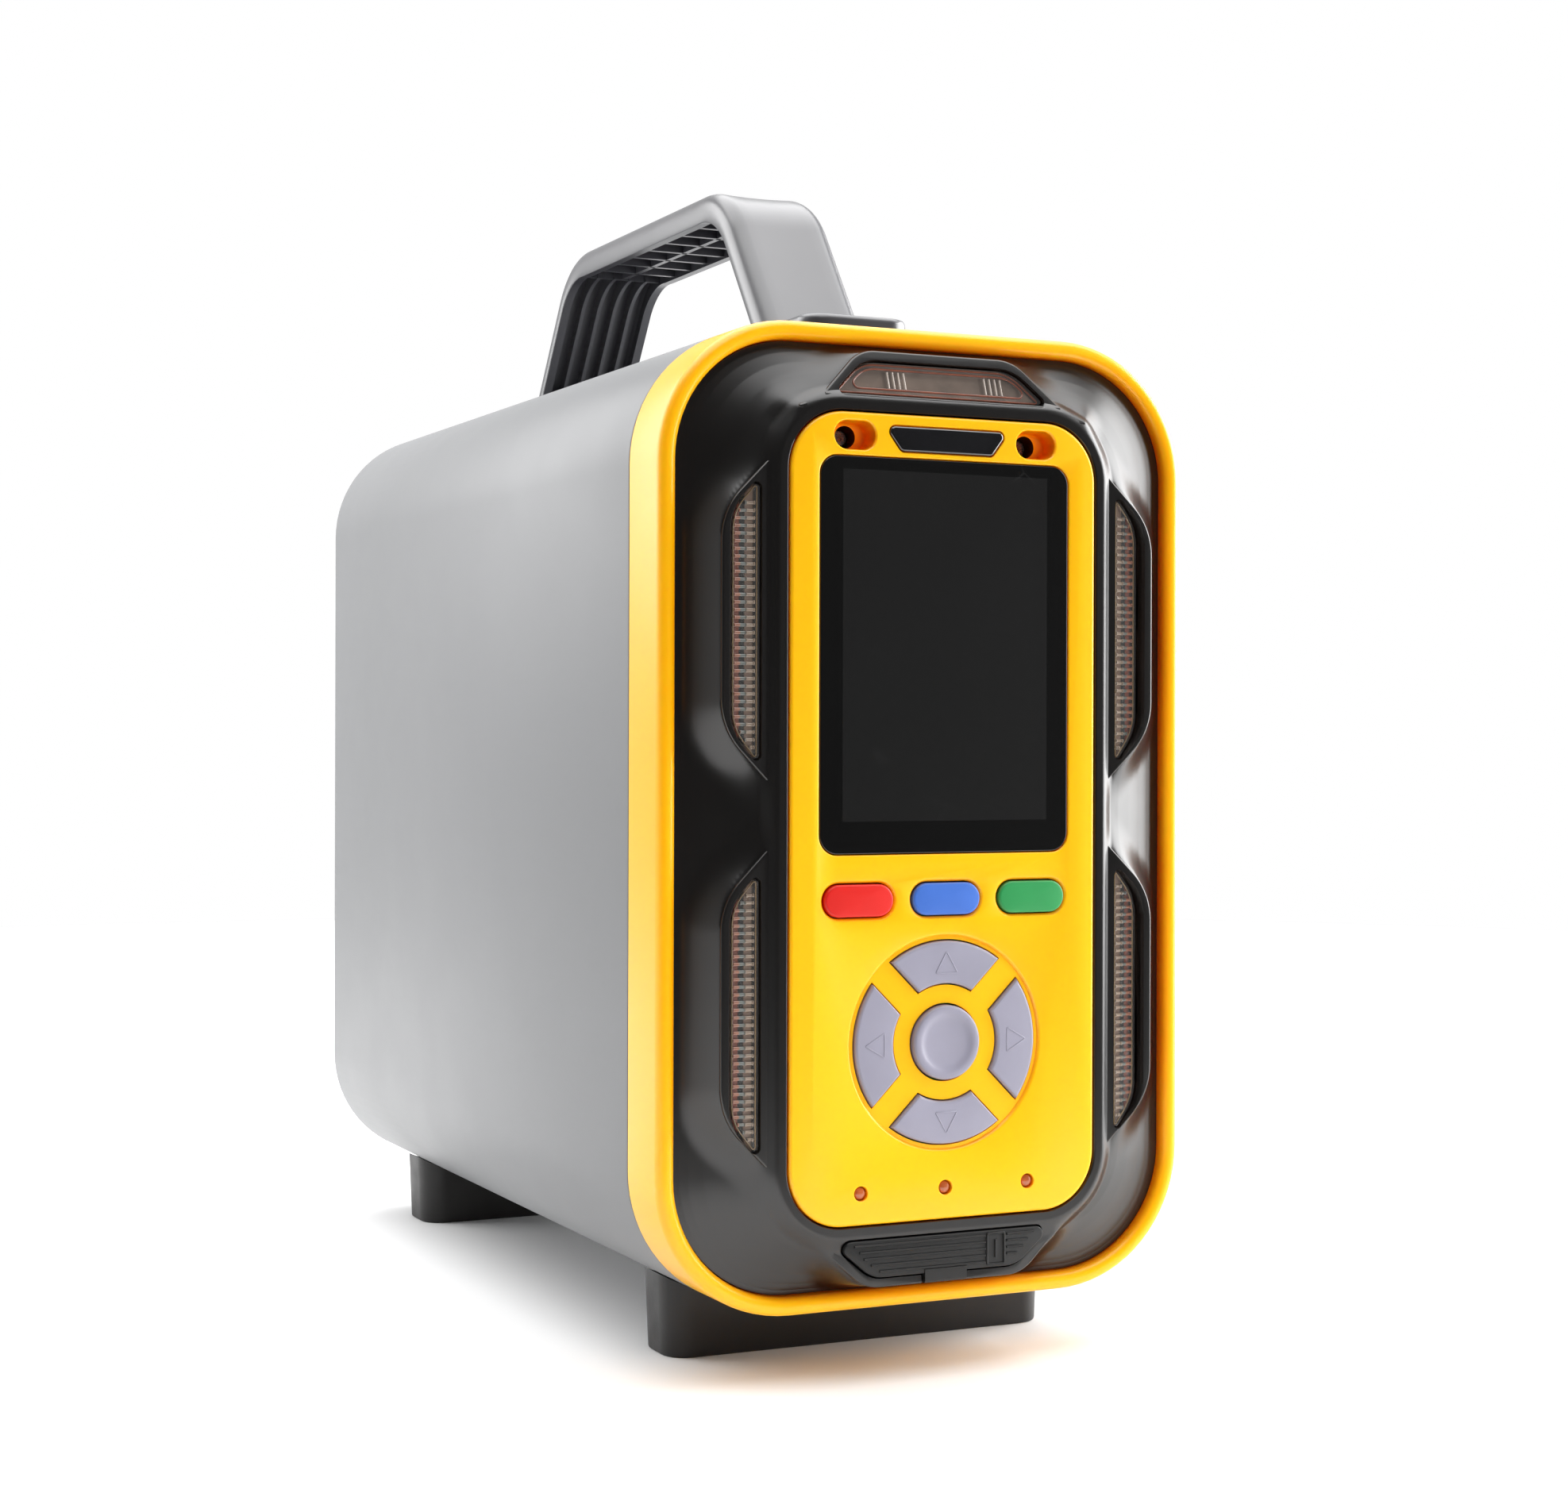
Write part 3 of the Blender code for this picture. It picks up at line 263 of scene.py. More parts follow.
def turned(name, profile, centre, finish, axis="Y", steps=48, closed=False):
    """A turned piece: (radius, distance) points along an axis through centre."""
    turn = {"Y": Matrix.Identity(3), "Z": Matrix.Rotation(math.radians(90), 3, "X")}[axis]
    angles = [2 * math.pi * i / steps for i in range(steps)]
    loops = [[centre + turn @ Vector((radius * math.cos(a), along, radius * math.sin(a))) for a in angles]
             for radius, along in profile]
    return skin(name, loops, finish, closed=closed)


def bead(name, path, radius, finish, sides=6, closed=False):
    """A thin round bead along a path of points."""
    loops = []
    count = len(path)
    for i, point in enumerate(path):
        ahead = path[(i + 1) % count] if closed or i + 1 < count else point
        behind = path[i - 1] if closed or i else point
        along = (Vector(ahead) - Vector(behind)).normalized()
        side = along.cross(Vector((0, 1, 0))).normalized()
        up = side.cross(along)
        loops.append([Vector(point) + (side * math.cos(a) + up * math.sin(a)) * radius
                      for a in (2 * math.pi * k / sides for k in range(sides))])
    return skin(name, loops, finish, closed=closed, sharp=80)


def merged(name, objects):
    """The objects made one mesh."""
    shape = bmesh.new()
    mesh = bpy.data.meshes.new(name)
    for obj in objects:
        if obj.data.materials[0].name not in mesh.materials:
            mesh.materials.append(obj.data.materials[0])
        index = mesh.materials.find(obj.data.materials[0].name)
        start = len(shape.faces)
        shape.from_mesh(obj.data)
        shape.faces.ensure_lookup_table()
        for face in shape.faces[start:]:
            face.material_index = index
        bpy.data.objects.remove(obj)
    shape.to_mesh(mesh)
    shape.free()
    whole = bpy.data.objects.new(name, mesh)
    bpy.context.scene.collection.objects.link(whole)
    return whole


def carved(obj, cutters, sharp=35.0):
    """Cuts the cutters out of obj and applies the result."""
    for cutter in cutters:
        made = obj.modifiers.new("cut", "BOOLEAN")
        made.operation = "DIFFERENCE"
        made.solver = "EXACT"
        made.object = cutter
    bpy.context.view_layer.update()
    evaluated = obj.evaluated_get(bpy.context.evaluated_depsgraph_get())
    result = bpy.data.meshes.new_from_object(evaluated)
    obj.modifiers.clear()
    obj.data = result
    result.shade_smooth()
    result.set_sharp_from_angle(angle=math.radians(sharp))
    for cutter in cutters:
        bpy.data.objects.remove(cutter)
    return obj


def copied(obj):
    other = obj.copy()
    other.data = obj.data.copy()
    bpy.context.scene.collection.objects.link(other)
    return other


def standing_in(obj, node, body="case"):
    """Puts obj in place of a CAD node, riding on the node's body."""
    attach(obj, body)
    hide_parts(node)


# Finishes


def added(tree, kind, sockets=(), **settings):
    """A new shader node. sockets gives its inputs, by name or place, a value or another node's output."""
    node = tree.nodes.new(f"ShaderNode{kind}")
    for key, value in settings.items():
        setattr(node, key, value)
    for key, value in dict(sockets).items():
        if isinstance(value, bpy.types.NodeSocket):
            tree.links.new(value, node.inputs[key])
        else:
            node.inputs[key].default_value = value
    return node


def maths(tree, operation, *values):
    """The output of a maths node over values and outputs."""
    return added(tree, "Math", enumerate(values), operation=operation).outputs[0]


def ranged(tree, value, low, high, start=0.0, end=1.0):
    """The output of value mapped from low...high onto start...end and kept within them."""
    sockets = {"Value": value, "From Min": low, "From Max": high, "To Min": start, "To Max": end}
    return added(tree, "MapRange", sockets).outputs["Result"]


def placed(tree):
    """The output that says where a point is in its object."""
    return added(tree, "TexCoord").outputs["Object"]


def base_of(tree):
    """The input that takes a material's colour."""
    return tree.nodes["Principled BSDF"].inputs["Base Color"]


def finish(name, colour, roughness, metallic=0.0, coat=0.0, vary=0.06, patch=45.0, grain=1800.0, bump=0.12,
           depth=0.00004, spread=0.05, alpha=1.0, ior=1.5, stretch=(1, 1, 1), transmission=0.0):
    """A moulded, painted or metal surface whose colour and gloss drift over a patch, with a fine grain."""
    made = bpy.data.materials.new(name)
    made.use_nodes = True
    made.diffuse_color = (*colour, 1)
    tree = made.node_tree
    spots = added(tree, "Mapping", {"Vector": placed(tree), "Scale": stretch}).outputs["Vector"]

    def noise(scale, detail):
        return added(tree, "TexNoise", {"Vector": spots, "Scale": scale, "Detail": detail}).outputs["Fac"]

    ramp = added(tree, "ValToRGB", {"Fac": noise(patch, 4)})
    low, high = ramp.color_ramp.elements
    low.position, high.position = 0.3, 0.7
    low.color = (*[c * (1 - vary) for c in colour], 1)
    high.color = (*[min(1.0, c * (1 + vary)) for c in colour], 1)
    gloss = ranged(tree, noise(patch * 5, 5), 0.3, 0.7, max(0.02, roughness - spread), roughness + spread)
    relief = added(tree, "Bump", {"Strength": bump, "Distance": depth, "Height": noise(grain, 3)})
    shader = tree.nodes["Principled BSDF"]
    for key, value in (("Metallic", metallic), ("Coat Weight", coat), ("Coat Roughness", 0.08), ("IOR", ior),
                       ("Alpha", alpha), ("Transmission Weight", transmission)):
        shader.inputs[key].default_value = value
    tree.links.new(ramp.outputs["Color"], shader.inputs["Base Color"])
    tree.links.new(gloss, shader.inputs["Roughness"])
    tree.links.new(relief.outputs["Normal"], shader.inputs["Normal"])
    return made


def bands(material, stops):
    """Colours the material by (distance in millimetres from the object's middle plane, colour)."""
    tree = material.node_tree
    low, high = stops[0][0], stops[-1][0]
    split = added(tree, "SeparateXYZ", {"Vector": placed(tree)})
    away = ranged(tree, maths(tree, "ABSOLUTE", split.outputs[0]), low * MM, high * MM)
    ramp = added(tree, "ValToRGB", {"Fac": away})
    elements = ramp.color_ramp.elements
    for i, (place, _) in enumerate(stops):
        spot = (place - low) / (high - low)
        stop = elements[i] if i < 2 else elements.new(spot)
        stop.position = spot
    for stop, (_, colour) in zip(elements, stops):
        stop.color = (*colour, 1)
    tree.links.new(ramp.outputs["Color"], base_of(tree))
    return material


def painted_crevice_shade(material, colour, reach):
    """Paints shade into the material's colour: turns it towards another where nearby surfaces close it in,
    standing in for the light they share.
    """
    tree = material.node_tree
    base = base_of(tree)
    enclosed = added(tree, "AmbientOcclusion", {"Distance": reach}, samples=8)
    unshaded_share = ranged(tree, enclosed.outputs["AO"], 0.25, 0.85)
    blend = added(tree, "MixRGB", {0: unshaded_share, 1: (*colour, 1), 2: base.links[0].from_socket})
    tree.links.new(blend.outputs[0], base)


def glass_finish():
    """Black cover glass over a dead display: a slightly paler active area, smears and hairline scratches."""
    made = finish("display_black", (0.003, 0.003, 0.003), 0.06, coat=0.6, vary=0.2, patch=18, grain=500,
                  bump=0.02, depth=0.00002, spread=0.03)
    tree = made.node_tree
    place = placed(tree)
    split = added(tree, "SeparateXYZ", {"Vector": place})

    def inside(output, low, high):
        return maths(tree, "MULTIPLY", maths(tree, "GREATER_THAN", output, low * MM),
                     maths(tree, "LESS_THAN", output, high * MM))

    screen = maths(tree, "MULTIPLY", inside(split.outputs[0], -SCREEN_HALF, SCREEN_HALF),
                   inside(split.outputs[2], SCREEN_LOW, SCREEN_HIGH))
    cells = added(tree, "TexVoronoi", {"Vector": place, "Scale": 55}, feature="DISTANCE_TO_EDGE")
    hairs = ranged(tree, cells.outputs["Distance"], 0.0, 0.006, 0.012, 0.0)
    mask = added(tree, "TexNoise", {"Vector": place, "Scale": 70})
    scratches = maths(tree, "MULTIPLY", hairs, ranged(tree, mask.outputs["Fac"], 0.6, 0.72))
    level = maths(tree, "MULTIPLY_ADD", screen, 0.007, scratches)
    tone = added(tree, "CombineColor", enumerate([level] * 3))
    base = base_of(tree)
    colours = {0: 1.0, 1: base.links[0].from_socket, 2: tone.outputs[0]}
    total = added(tree, "MixRGB", colours, blend_type="ADD")
    tree.links.new(total.outputs[0], base)
    return made


paint = finish("case_metal", (0.20, 0.203, 0.21), 0.40, vary=0.02, patch=9, grain=3200, bump=0.10,
               depth=0.00003, spread=0.02)
yellow = finish("yellow_plastic", (1.0, 0.47, 0.001), 0.32, vary=0.012, patch=14, grain=2600, bump=0.04,
                spread=0.01)
# Light gets a little way into the yellow plastic, and turns more orange.
glow = yellow.node_tree.nodes["Principled BSDF"]
glow.inputs["Subsurface Weight"].default_value = 0.35
glow.inputs["Subsurface Radius"].default_value = (1.0, 0.3, 0.02)
glow.inputs["Subsurface Scale"].default_value = 0.004
# Painted shade: the yellow is painted deep orange in crevices and hollows, where shade falls.
painted_crevice_shade(yellow, (1.0, 0.27, 0.0), 0.012)
black = finish("bezel_plastic", (0.0040, 0.0034, 0.0032), 0.30, vary=0.1, patch=40, grain=3200, bump=0.04,
               depth=0.00002, spread=0.006, ior=1.66)
badge_black = finish("badge_black", (0.006, 0.006, 0.007), 0.10, coat=1.0, vary=0.2, patch=120, bump=0.03,
                     spread=0.02)
glass = glass_finish()
clear = finish("lens_clear", (0.34, 0.32, 0.31), 0.05, coat=1.0, vary=0.1, patch=200, bump=0.03, spread=0.02,
               alpha=0.09, ior=1.6)
# The bands across the side lens are its own colours. The tray carries them darkened as painted shade between
# the ribs, and the ribs carry them lightened as painted glints.
tray = bands(finish("lens_tray", (0.1, 0.1, 0.1), 0.25, coat=0.5, bump=0.05, spread=0.05),
             [(42.8, (0.03, 0.03, 0.027)), (43.6, (0.05, 0.04, 0.03)), (43.9, (0.20, 0.13, 0.09)),
              (45.3, (0.22, 0.14, 0.10)), (45.6, (0.012, 0.016, 0.014)), (46.5, (0.010, 0.013, 0.012)),
              (46.8, (0.22, 0.05, 0.025)), (47.5, (0.20, 0.05, 0.03)), (48.0, (0.05, 0.03, 0.02)),
              (48.7, (0.012, 0.010, 0.010))])
rib = bands(finish("lens_rib", (0.4, 0.3, 0.25), 0.12, coat=1.0, bump=0.03, spread=0.03, ior=1.7),
            [(42.8, (0.28, 0.205, 0.145)), (45.3, (0.28, 0.205, 0.145)), (45.6, (0.13, 0.14, 0.125)),
             (46.5, (0.13, 0.14, 0.125)), (46.8, (0.30, 0.12, 0.07)), (48.7, (0.24, 0.09, 0.055))])
# The top lens's brown, darkened on the tray as painted shade and lightened on the ribs as painted highlights.
top_tray = finish("lens_top_tray", (0.16, 0.118, 0.092), 0.22, coat=0.6, vary=0.25, patch=160, bump=0.05,
                  spread=0.05)
top_rib = finish("lens_top_rib", (0.50, 0.42, 0.36), 0.12, coat=1.0, vary=0.1, patch=160, bump=0.03,
                 spread=0.03, ior=1.7)
lens_edge = finish("lens_edge", (0.20, 0.13, 0.06), 0.12, coat=1.0, vary=0.2, patch=200, bump=0.03,
                   spread=0.03)
amber_rim = finish("lens_rim", (0.22, 0.045, 0.012), 0.18, coat=0.8, vary=0.35, patch=220, bump=0.05)
grip = finish("handle_plastic", (0.045, 0.045, 0.052), 0.30, vary=0.06, patch=30, grain=2200, bump=0.2,
              spread=0.02, ior=1.85)
foot_black = finish("foot_rubber", (0.006, 0.0045, 0.004), 0.45, vary=0.15, patch=35, grain=1500, bump=0.3,
                    depth=0.00006)
seal = finish("seal_rubber", (0.007, 0.007, 0.007), 0.50, vary=0.15, patch=60, grain=1700, bump=0.25,
              depth=0.00005)
key_red = finish("key_red", (0.60, 0.008, 0.004), 0.44, vary=0.04, patch=120, grain=2600)
key_blue = finish("key_blue", (0.042, 0.135, 0.50), 0.44, vary=0.04, patch=120, grain=2600)
key_green = finish("key_green", (0.020, 0.25, 0.068), 0.44, vary=0.04, patch=120, grain=2600)
key_grey = finish("key_grey", (0.262, 0.254, 0.318), 0.40, vary=0.04, patch=120, grain=2600)
amber = finish("lamp_amber", (0.36, 0.085, 0.022), 0.16, coat=0.8, vary=0.25, patch=400, bump=0.05)
zinc = finish("screw_steel", (0.52, 0.52, 0.53), 0.30, metallic=1.0, vary=0.12, patch=300, grain=900,
              bump=0.15, stretch=(1, 6, 6), spread=0.1)
nickel = finish("fitting_steel", (0.66, 0.65, 0.62), 0.16, metallic=1.0, patch=150, grain=1200, bump=0.08,
                stretch=(1, 8, 1))
sheet_steel = finish("bracket_steel", (0.56, 0.56, 0.57), 0.38, metallic=1.0, vary=0.10, patch=60, grain=500,
                     bump=0.2, stretch=(1, 12, 1), spread=0.1)
board = finish("circuit_board", (0.015, 0.16, 0.05), 0.35, vary=0.25, patch=220, grain=700, bump=0.3)
wrap = finish("battery_wrap", (0.03, 0.10, 0.34), 0.32, vary=0.10, patch=50, grain=160, bump=0.4,
              depth=0.0003)
anodised = finish("manifold_alu", (0.07, 0.075, 0.085), 0.38, metallic=0.7, vary=0.10, patch=70, grain=1500)
can = finish("sensor_can", (0.62, 0.62, 0.63), 0.28, metallic=1.0, vary=0.08, patch=150, grain=1200, bump=0.1)
pump_metal = finish("pump_metal", (0.55, 0.55, 0.56), 0.30, metallic=1.0, vary=0.08, patch=120, grain=900,
                    stretch=(8, 1, 8))
pump_black = finish("pump_plastic", (0.02, 0.02, 0.022), 0.45, vary=0.12, patch=70, grain=1200, bump=0.3)
silicone = finish("tube_silicone", (0.62, 0.60, 0.55), 0.40, patch=80, grain=900, bump=0.08, transmission=0.3)
# Painted shade: a dark brown lining for the screw holes, in place of the shade inside them.
hole_painted_shade = finish("well_dark", (0.035, 0.009, 0.004), 0.55, vary=0.2)

SLOT_FINISH = {
    "case_metal": paint, "yellow_plastic": yellow, "bezel_plastic": black, "badge_black": badge_black,
    "display_black": glass, "lens_clear": clear, "handle_plastic": grip, "foot_rubber": foot_black,
    "seal_rubber": seal, "lamp_amber": amber, "screw_steel": zinc, "fitting_steel": nickel,
    "bracket_steel": sheet_steel, "circuit_board": board, "battery_wrap": wrap, "manifold_alu": anodised,
    "sensor_can": can, "pump_metal": pump_metal, "pump_plastic": pump_black, "tube_silicone": silicone,
    "key_red": key_red, "key_blue": key_blue, "key_green": key_green, "key_grey": key_grey,
}
for part in frame["record"]["subparts"]:
    node = frame["nodes"][part["node"]]
    node.data.materials.clear()
    node.data.materials.append(SLOT_FINISH[part["material_slot"]])


# Case


def swept(name, profile, surface):
    """A tube of the case's section, from (inset, depth) points of its wall."""
    loops = [[at(x, depth, z) for x, z in rounded_box(*grown(*CASE, -inset), 18)] for inset, depth in profile]
    return skin(name, loops, surface, closed=True)


def build_case():
    front, rear = RING_BACK + GAP, CASE_REAR
    shell = swept("housing_shell", [(0.5, front), (0.15, front + 0.15), (0, front + 0.5), (0, rear - 0.5),
                                    (0.15, rear - 0.15), (0.5, rear), (WALL, rear), (WALL, front)], paint)
    bosses = []
    rise = (CASE_HIGH - CASE_LOW) / 2 - (CASE_HALF - BOSS_X)
    middle = (CASE_HIGH + CASE_LOW) / 2
    for index, (across, up) in enumerate(((-1, -1), (1, -1), (-1, 1), (1, 1))):
        centre = at(across * BOSS_X, 0, middle + up * rise)
        profile = [(4.3, 30), (4.3, 236.2), (1.8, 236.2), (1.8, 223.0), (0.1, 222.5), (0.1, 30)]
        bosses.append(turned(f"boss_{index}", profile, centre, paint, steps=20, closed=True))
    standing_in(merged("housing_tube", [shell] + bosses), "housing")

    rim = [(0.25, RING_BACK), (0, RING_BACK - 0.25), (0, 2.4), (0.1, 1.7), (0.35, 1.0), (0.8, 0.4),
           (1.4, 0.08), (2.0, 0.0), (2.6, 0.08), (3.2, 0.4), (3.65, 0.9), (3.92, 1.5), (LIP, 2.2),
           (LIP, RING_BACK - 2), (1.9, RING_BACK - 2), (1.9, RING_BACK)]
    standing_in(swept("front_ring_moulding", rim, yellow), "front_ring")


# Bezel


def box_distance(x, z, half, low, high, radius):
    """Signed distance to a rounded rectangle about x = 0, positive outside."""
    middle, rise = (low + high) / 2, (high - low) / 2
    qx = np.abs(x) - (half - radius)
    qz = np.abs(z - middle) - (rise - radius)
    outside = np.hypot(np.maximum(qx, 0), np.maximum(qz, 0))
    return outside + np.minimum(np.maximum(qx, qz), 0) - radius


def outline_distance(x, z, outline):
    """Signed distance to a polygon, positive inside."""
    points = np.array(outline)
    nearest = np.full(x.shape, 1e9)
    inside = np.zeros(x.shape, bool)
    for (ax, az), (bx, bz) in zip(points, np.roll(points, -1, 0)):
        ex, ez = bx - ax, bz - az
        share = np.clip(((x - ax) * ex + (z - az) * ez) / (ex * ex + ez * ez), 0, 1)
        nearest = np.minimum(nearest, np.hypot(x - ax - share * ex, z - az - share * ez))
        if ez:
            crosses = (az > z) != (bz > z)
            inside ^= crosses & (x < ax + (z - az) / ez * ex)
    return np.where(inside, nearest, -nearest)


def side_pod_face(x, z):
    return -5.1 - 0.07 * (abs(x) - 41.0)


def top_pod_face(x, z):
    return -5.7 + TOP_SLOPE * (z - 205.0)


def top_lens_face(x, z):
    return -3.2 + TOP_SLOPE * (z - 210.7)


def bottom_pod_face(x, z):
    return -6.0 + 0.25 * max(0, abs(x) - 27.5)


def side_lens_face(x, z):
    return -4.9 + math.tan(math.radians(LENS_TILT)) * (abs(x) - 42.8)


def pods():
    """(name, outline, face, reach of its flare) for each raised pod."""
    found = []
    for level, pod in (("upper", UPPER_POD), ("lower", LOWER_POD)):
        for side, sign in (("left", -1), ("right", 1)):
            outline = filleted([(sign * x, z) for x, z in pod], (0.5, 15.0, 15.0, 0.5), 14)
            found.append((f"{level}_{side}", outline, side_pod_face, 7.5))
    found.append(("top", filleted(TOP_POD, (0.5, 9.0, 9.0, 9.0, 9.0, 0.5), 12), top_pod_face, 7.0))
    found.append(("bottom", filleted(BOTTOM_POD, (2.0, 2.0, 9.0, 9.0), 10), bottom_pod_face, 6.0))
    return found


def bezel_depth(x, z):
    """The depth of the bezel's face: a swell from the ring to the fascia's collar, flared up to each pod."""
    rim = np.maximum(-box_distance(x, z, *BEZEL), 0)
    collar = np.maximum(box_distance(x, z, *FASCIA), 0)
    share = rim / (rim + collar + 1e-6)
    depth = np.interp(share, *zip(*SWELL))
    for _, outline, face, reach in pods():
        inside = outline_distance(x, z, outline)
        near = np.clip((inside + reach) / reach, 0, 1) ** 2.4 * np.clip(rim / 2.0, 0.15, 1)
        target = np.vectorize(face)(x, z) + POD_STEP
        depth = np.where(depth > target, depth + (target - depth) * near, depth)
    step = np.clip((COLLAR_WIDTH + COLLAR_FALL - collar) / COLLAR_FALL, 0, 1)
    step = step * step * (3 - 2 * step)
    return depth + (COLLAR_DEPTH - depth) * step


def build_bezel():
    steps, along, rings, back = 44, 150, 96, 22.0
    outer = np.array(rounded_box(*BEZEL, steps, along))
    inner = np.array(rounded_box(*FASCIA_HOLE, steps, along))

    def ring(share, depth, start=outer, end=inner):
        """The points this share of the way from one outline to another, at one depth."""
        return [at(x, depth, z) for x, z in start + (end - start) * share]

    loops = [ring(0, back)]
    for k in range(rings + 1):
        points = outer + (inner - outer) * (k / rings)
        depth = bezel_depth(points[:, 0], points[:, 1])
        loops.append([at(x, d, z) for (x, z), d in zip(points, depth)])
    loops[-1] = [p + Vector((0, 0.25, 0)) for p in loops[-1]]
    loops += [ring(0, FASCIA_BACK + GAP, inner, outer), ring(0.10, -1.6, inner, outer), ring(0.13, 4.6),
              ring(0.11, back)]
    shell = skin("bezel_shell", loops, black, closed=True, sharp=48)

    caps = [plate(f"pod_{name}", outline, face, 1.0 if name == "top" else -2.0, black, edge=0.45, steps=4)
            for name, outline, face, _ in pods()]
    lip = [at(x, top_pod_face(x, 206.6) + 0.1, 206.6) for x in (-28.2, -27.8, 27.8, 28.2)]
    caps.append(bead("lip", lip, 0.5, black, 8))
    cutters = {}
    for level, lens in (("upper", UPPER_LENS), ("lower", LOWER_LENS)):
        for side, sign in (("left", -1), ("right", 1)):
            cutters[f"{level}_{side}"] = seat(lens_outline(lens, sign), side_lens_face, 1.5)
    cutters["top"] = seat(lens_outline(TOP_LENS, corners=TOP_LENS_CORNERS), top_lens_face, 1.9)
    floor = FLAP_BACK + GAP + 0.1
    flap = shrunk(filleted(FLAP, FLAP_CORNERS, 8), -0.4)
    cutters["bottom"] = plate("flap_cut", flap, IN_FRONT, floor, black)
    tab = [(-5.4, 18.6), (5.4, 18.6), (5.4, 25.0), (-5.4, 25.0)]
    tab_cut = plate("tab_cut", tab, IN_FRONT, floor, black)
    socket = [(-8.3, 23.1), (8.3, 23.1), (8.3, 29.5), (-8.3, 29.5)]
    socket_cut = plate("socket_cut", socket, IN_FRONT, 10, black)
    pocket = rounded_box(*FASCIA_HOLE, steps)
    for cap in caps[:-1]:
        place = cap.name[len("pod_"):]
        copies = [copied(cutters[place]), plate("pocket_cut", pocket, IN_FRONT, -1.0, black)]
        if place == "bottom":
            copies += [copied(tab_cut), copied(socket_cut)]
        carved(cap, copies)
    carved(shell, list(cutters.values()) + [tab_cut, socket_cut], sharp=48)
    standing_in(merged("bezel_moulding", [shell] + caps), "front_bezel")


def seat(outline, face, chamfer):
    """A cutter for a lens's seat: straight below the lens's face, then opening out as a bevel above it."""
    hole = shrunk(outline, -GAP)
    loops = [[at(x, face(x, z) + 3.4, z) for x, z in hole],
             [at(x, face(x, z) - 0.15, z) for x, z in hole],
             [at(x, face(x, z) - 0.15 - chamfer * 1.1, z) for x, z in shrunk(outline, -GAP - chamfer * 0.55)],
             [at(x, IN_FRONT, z) for x, z in shrunk(outline, -GAP - chamfer * 0.7)]]
    return skin("seat", loops, black)


# Alarm windows


def lens_outline(lens, sign=1, corners=LENS_CORNERS):
    """The rounded outline of an alarm window, on the left of the front if sign is -1."""
    return filleted([(sign * x, z) for x, z in lens], corners, 10)


def build_side_lens(level, side, lens, sign):
    outline = lens_outline(lens, sign)
    parts = [plate("cover", outline, side_lens_face, -3.0, clear, edge=0.3),
             plate("bed", shrunk(outline, -0.2), lambda x, z: side_lens_face(x, z) + 1.6, -0.9, tray)]
    (_, high), (_, top_edge), (_, bottom_edge), (_, low) = lens

    def under(x, z, below):
        return at(sign * x, side_lens_face(x, z) + below, z)

    for k in range(int((high - low) / RIB_PITCH)):
        z = low + (k + 0.5) * RIB_PITCH
        inner, outer = RIB_INNER, RIB_OUTER
        if z > top_edge - 1.0:
            outer -= (z - top_edge + 1.0) * 0.80
        if z < bottom_edge + 1.0:
            outer -= (bottom_edge + 1.0 - z) * 0.66
        if outer - inner < 0.8:
            continue
        path = [under(x, z, 1.15) for x in (inner, inner + 0.15, outer - 0.15, outer)]
        parts.append(bead(f"rib_{k}", path, 0.40, rib, sides=8))
        for x in (inner + 0.05, min(45.35, outer - 0.3), outer - 0.05):
            stud = [under(x, z + up, below) for below, up in ((0.8, -0.3), (0.62, 0), (0.8, 0.3))]
            parts.append(bead(f"stud_{k}_{x:.1f}", stud, 0.20, rib))
    edge = [at(x, side_lens_face(x, z) + 0.7, z) for x, z in shrunk(outline, 0.45)]
    parts.append(bead("edge", edge, 0.16, lens_edge, closed=True))
    standing_in(merged(f"lens_{level}_{side}", parts), f"alarm_lens_{level}_{side}")


def build_top_lens():
    outline = lens_outline(TOP_LENS, corners=TOP_LENS_CORNERS)
    parts = [plate("cover", outline, top_lens_face, -0.6, clear, edge=0.15),
             plate("tray", shrunk(outline, -0.2), lambda x, z: top_lens_face(x, z) + 1.9, 1.2, top_tray)]
    inner_rim = shrunk(filleted(TOP_LENS, (2.4, 8.0, 8.0, 2.4), 8), 1.3)
    edge = shrunk(outline, 0.35)
    for name, path, below, radius in (("rim", inner_rim, 1.0, 0.24), ("edge", edge, 1.3, 0.22)):
        points = [at(x, top_lens_face(x, z) + below, z) for x, z in path]
        parts.append(bead(name, points, radius, amber_rim, 8, closed=True))
    for x in TOP_RIBS:
        path = [at(x, top_lens_face(x, z) + 0.95, z) for z in (208.9, 209.1, 212.3, 212.5)]
        parts.append(bead(f"rib_{x}", path, 0.26, top_rib, 8))
    standing_in(merged("lens_top", parts), "alarm_lens_top")


# Fascia, keys, display


def well_outline(x, radius=None):
    """A screw well's round-ended outline, or a circle in its middle, with points at the same angles."""
    run = WELL_HALF - WELL_RISE
    outline = []
    for angle in np.radians(np.arange(0, 360, 7.5)):
        across, up = math.cos(angle), math.sin(angle)
        reach = radius
        if not radius:
            reach = WELL_RISE / abs(up) if abs(up) * run > abs(across) * WELL_RISE else 0
            if not reach or reach * abs(across) > run:
                inner = run * abs(across)
                reach = inner + math.sqrt(inner * inner + WELL_RISE * WELL_RISE - run * run)
        outline.append((x + reach * across, SCREW_Z + reach * up))
    return outline


def pad_sector(inner, outer, bar_half, turn):
    """A quarter of the ring of direction keys, with its ends parallel to the bars between them."""
    ends = [45 - math.degrees(math.asin(bar_half / radius)) for radius in (inner, outer)]
    return (arc((0, PAD_Z), outer, turn - ends[1], turn + ends[1], 26)
            + arc((0, PAD_Z), inner, turn + ends[0], turn - ends[0], 18))


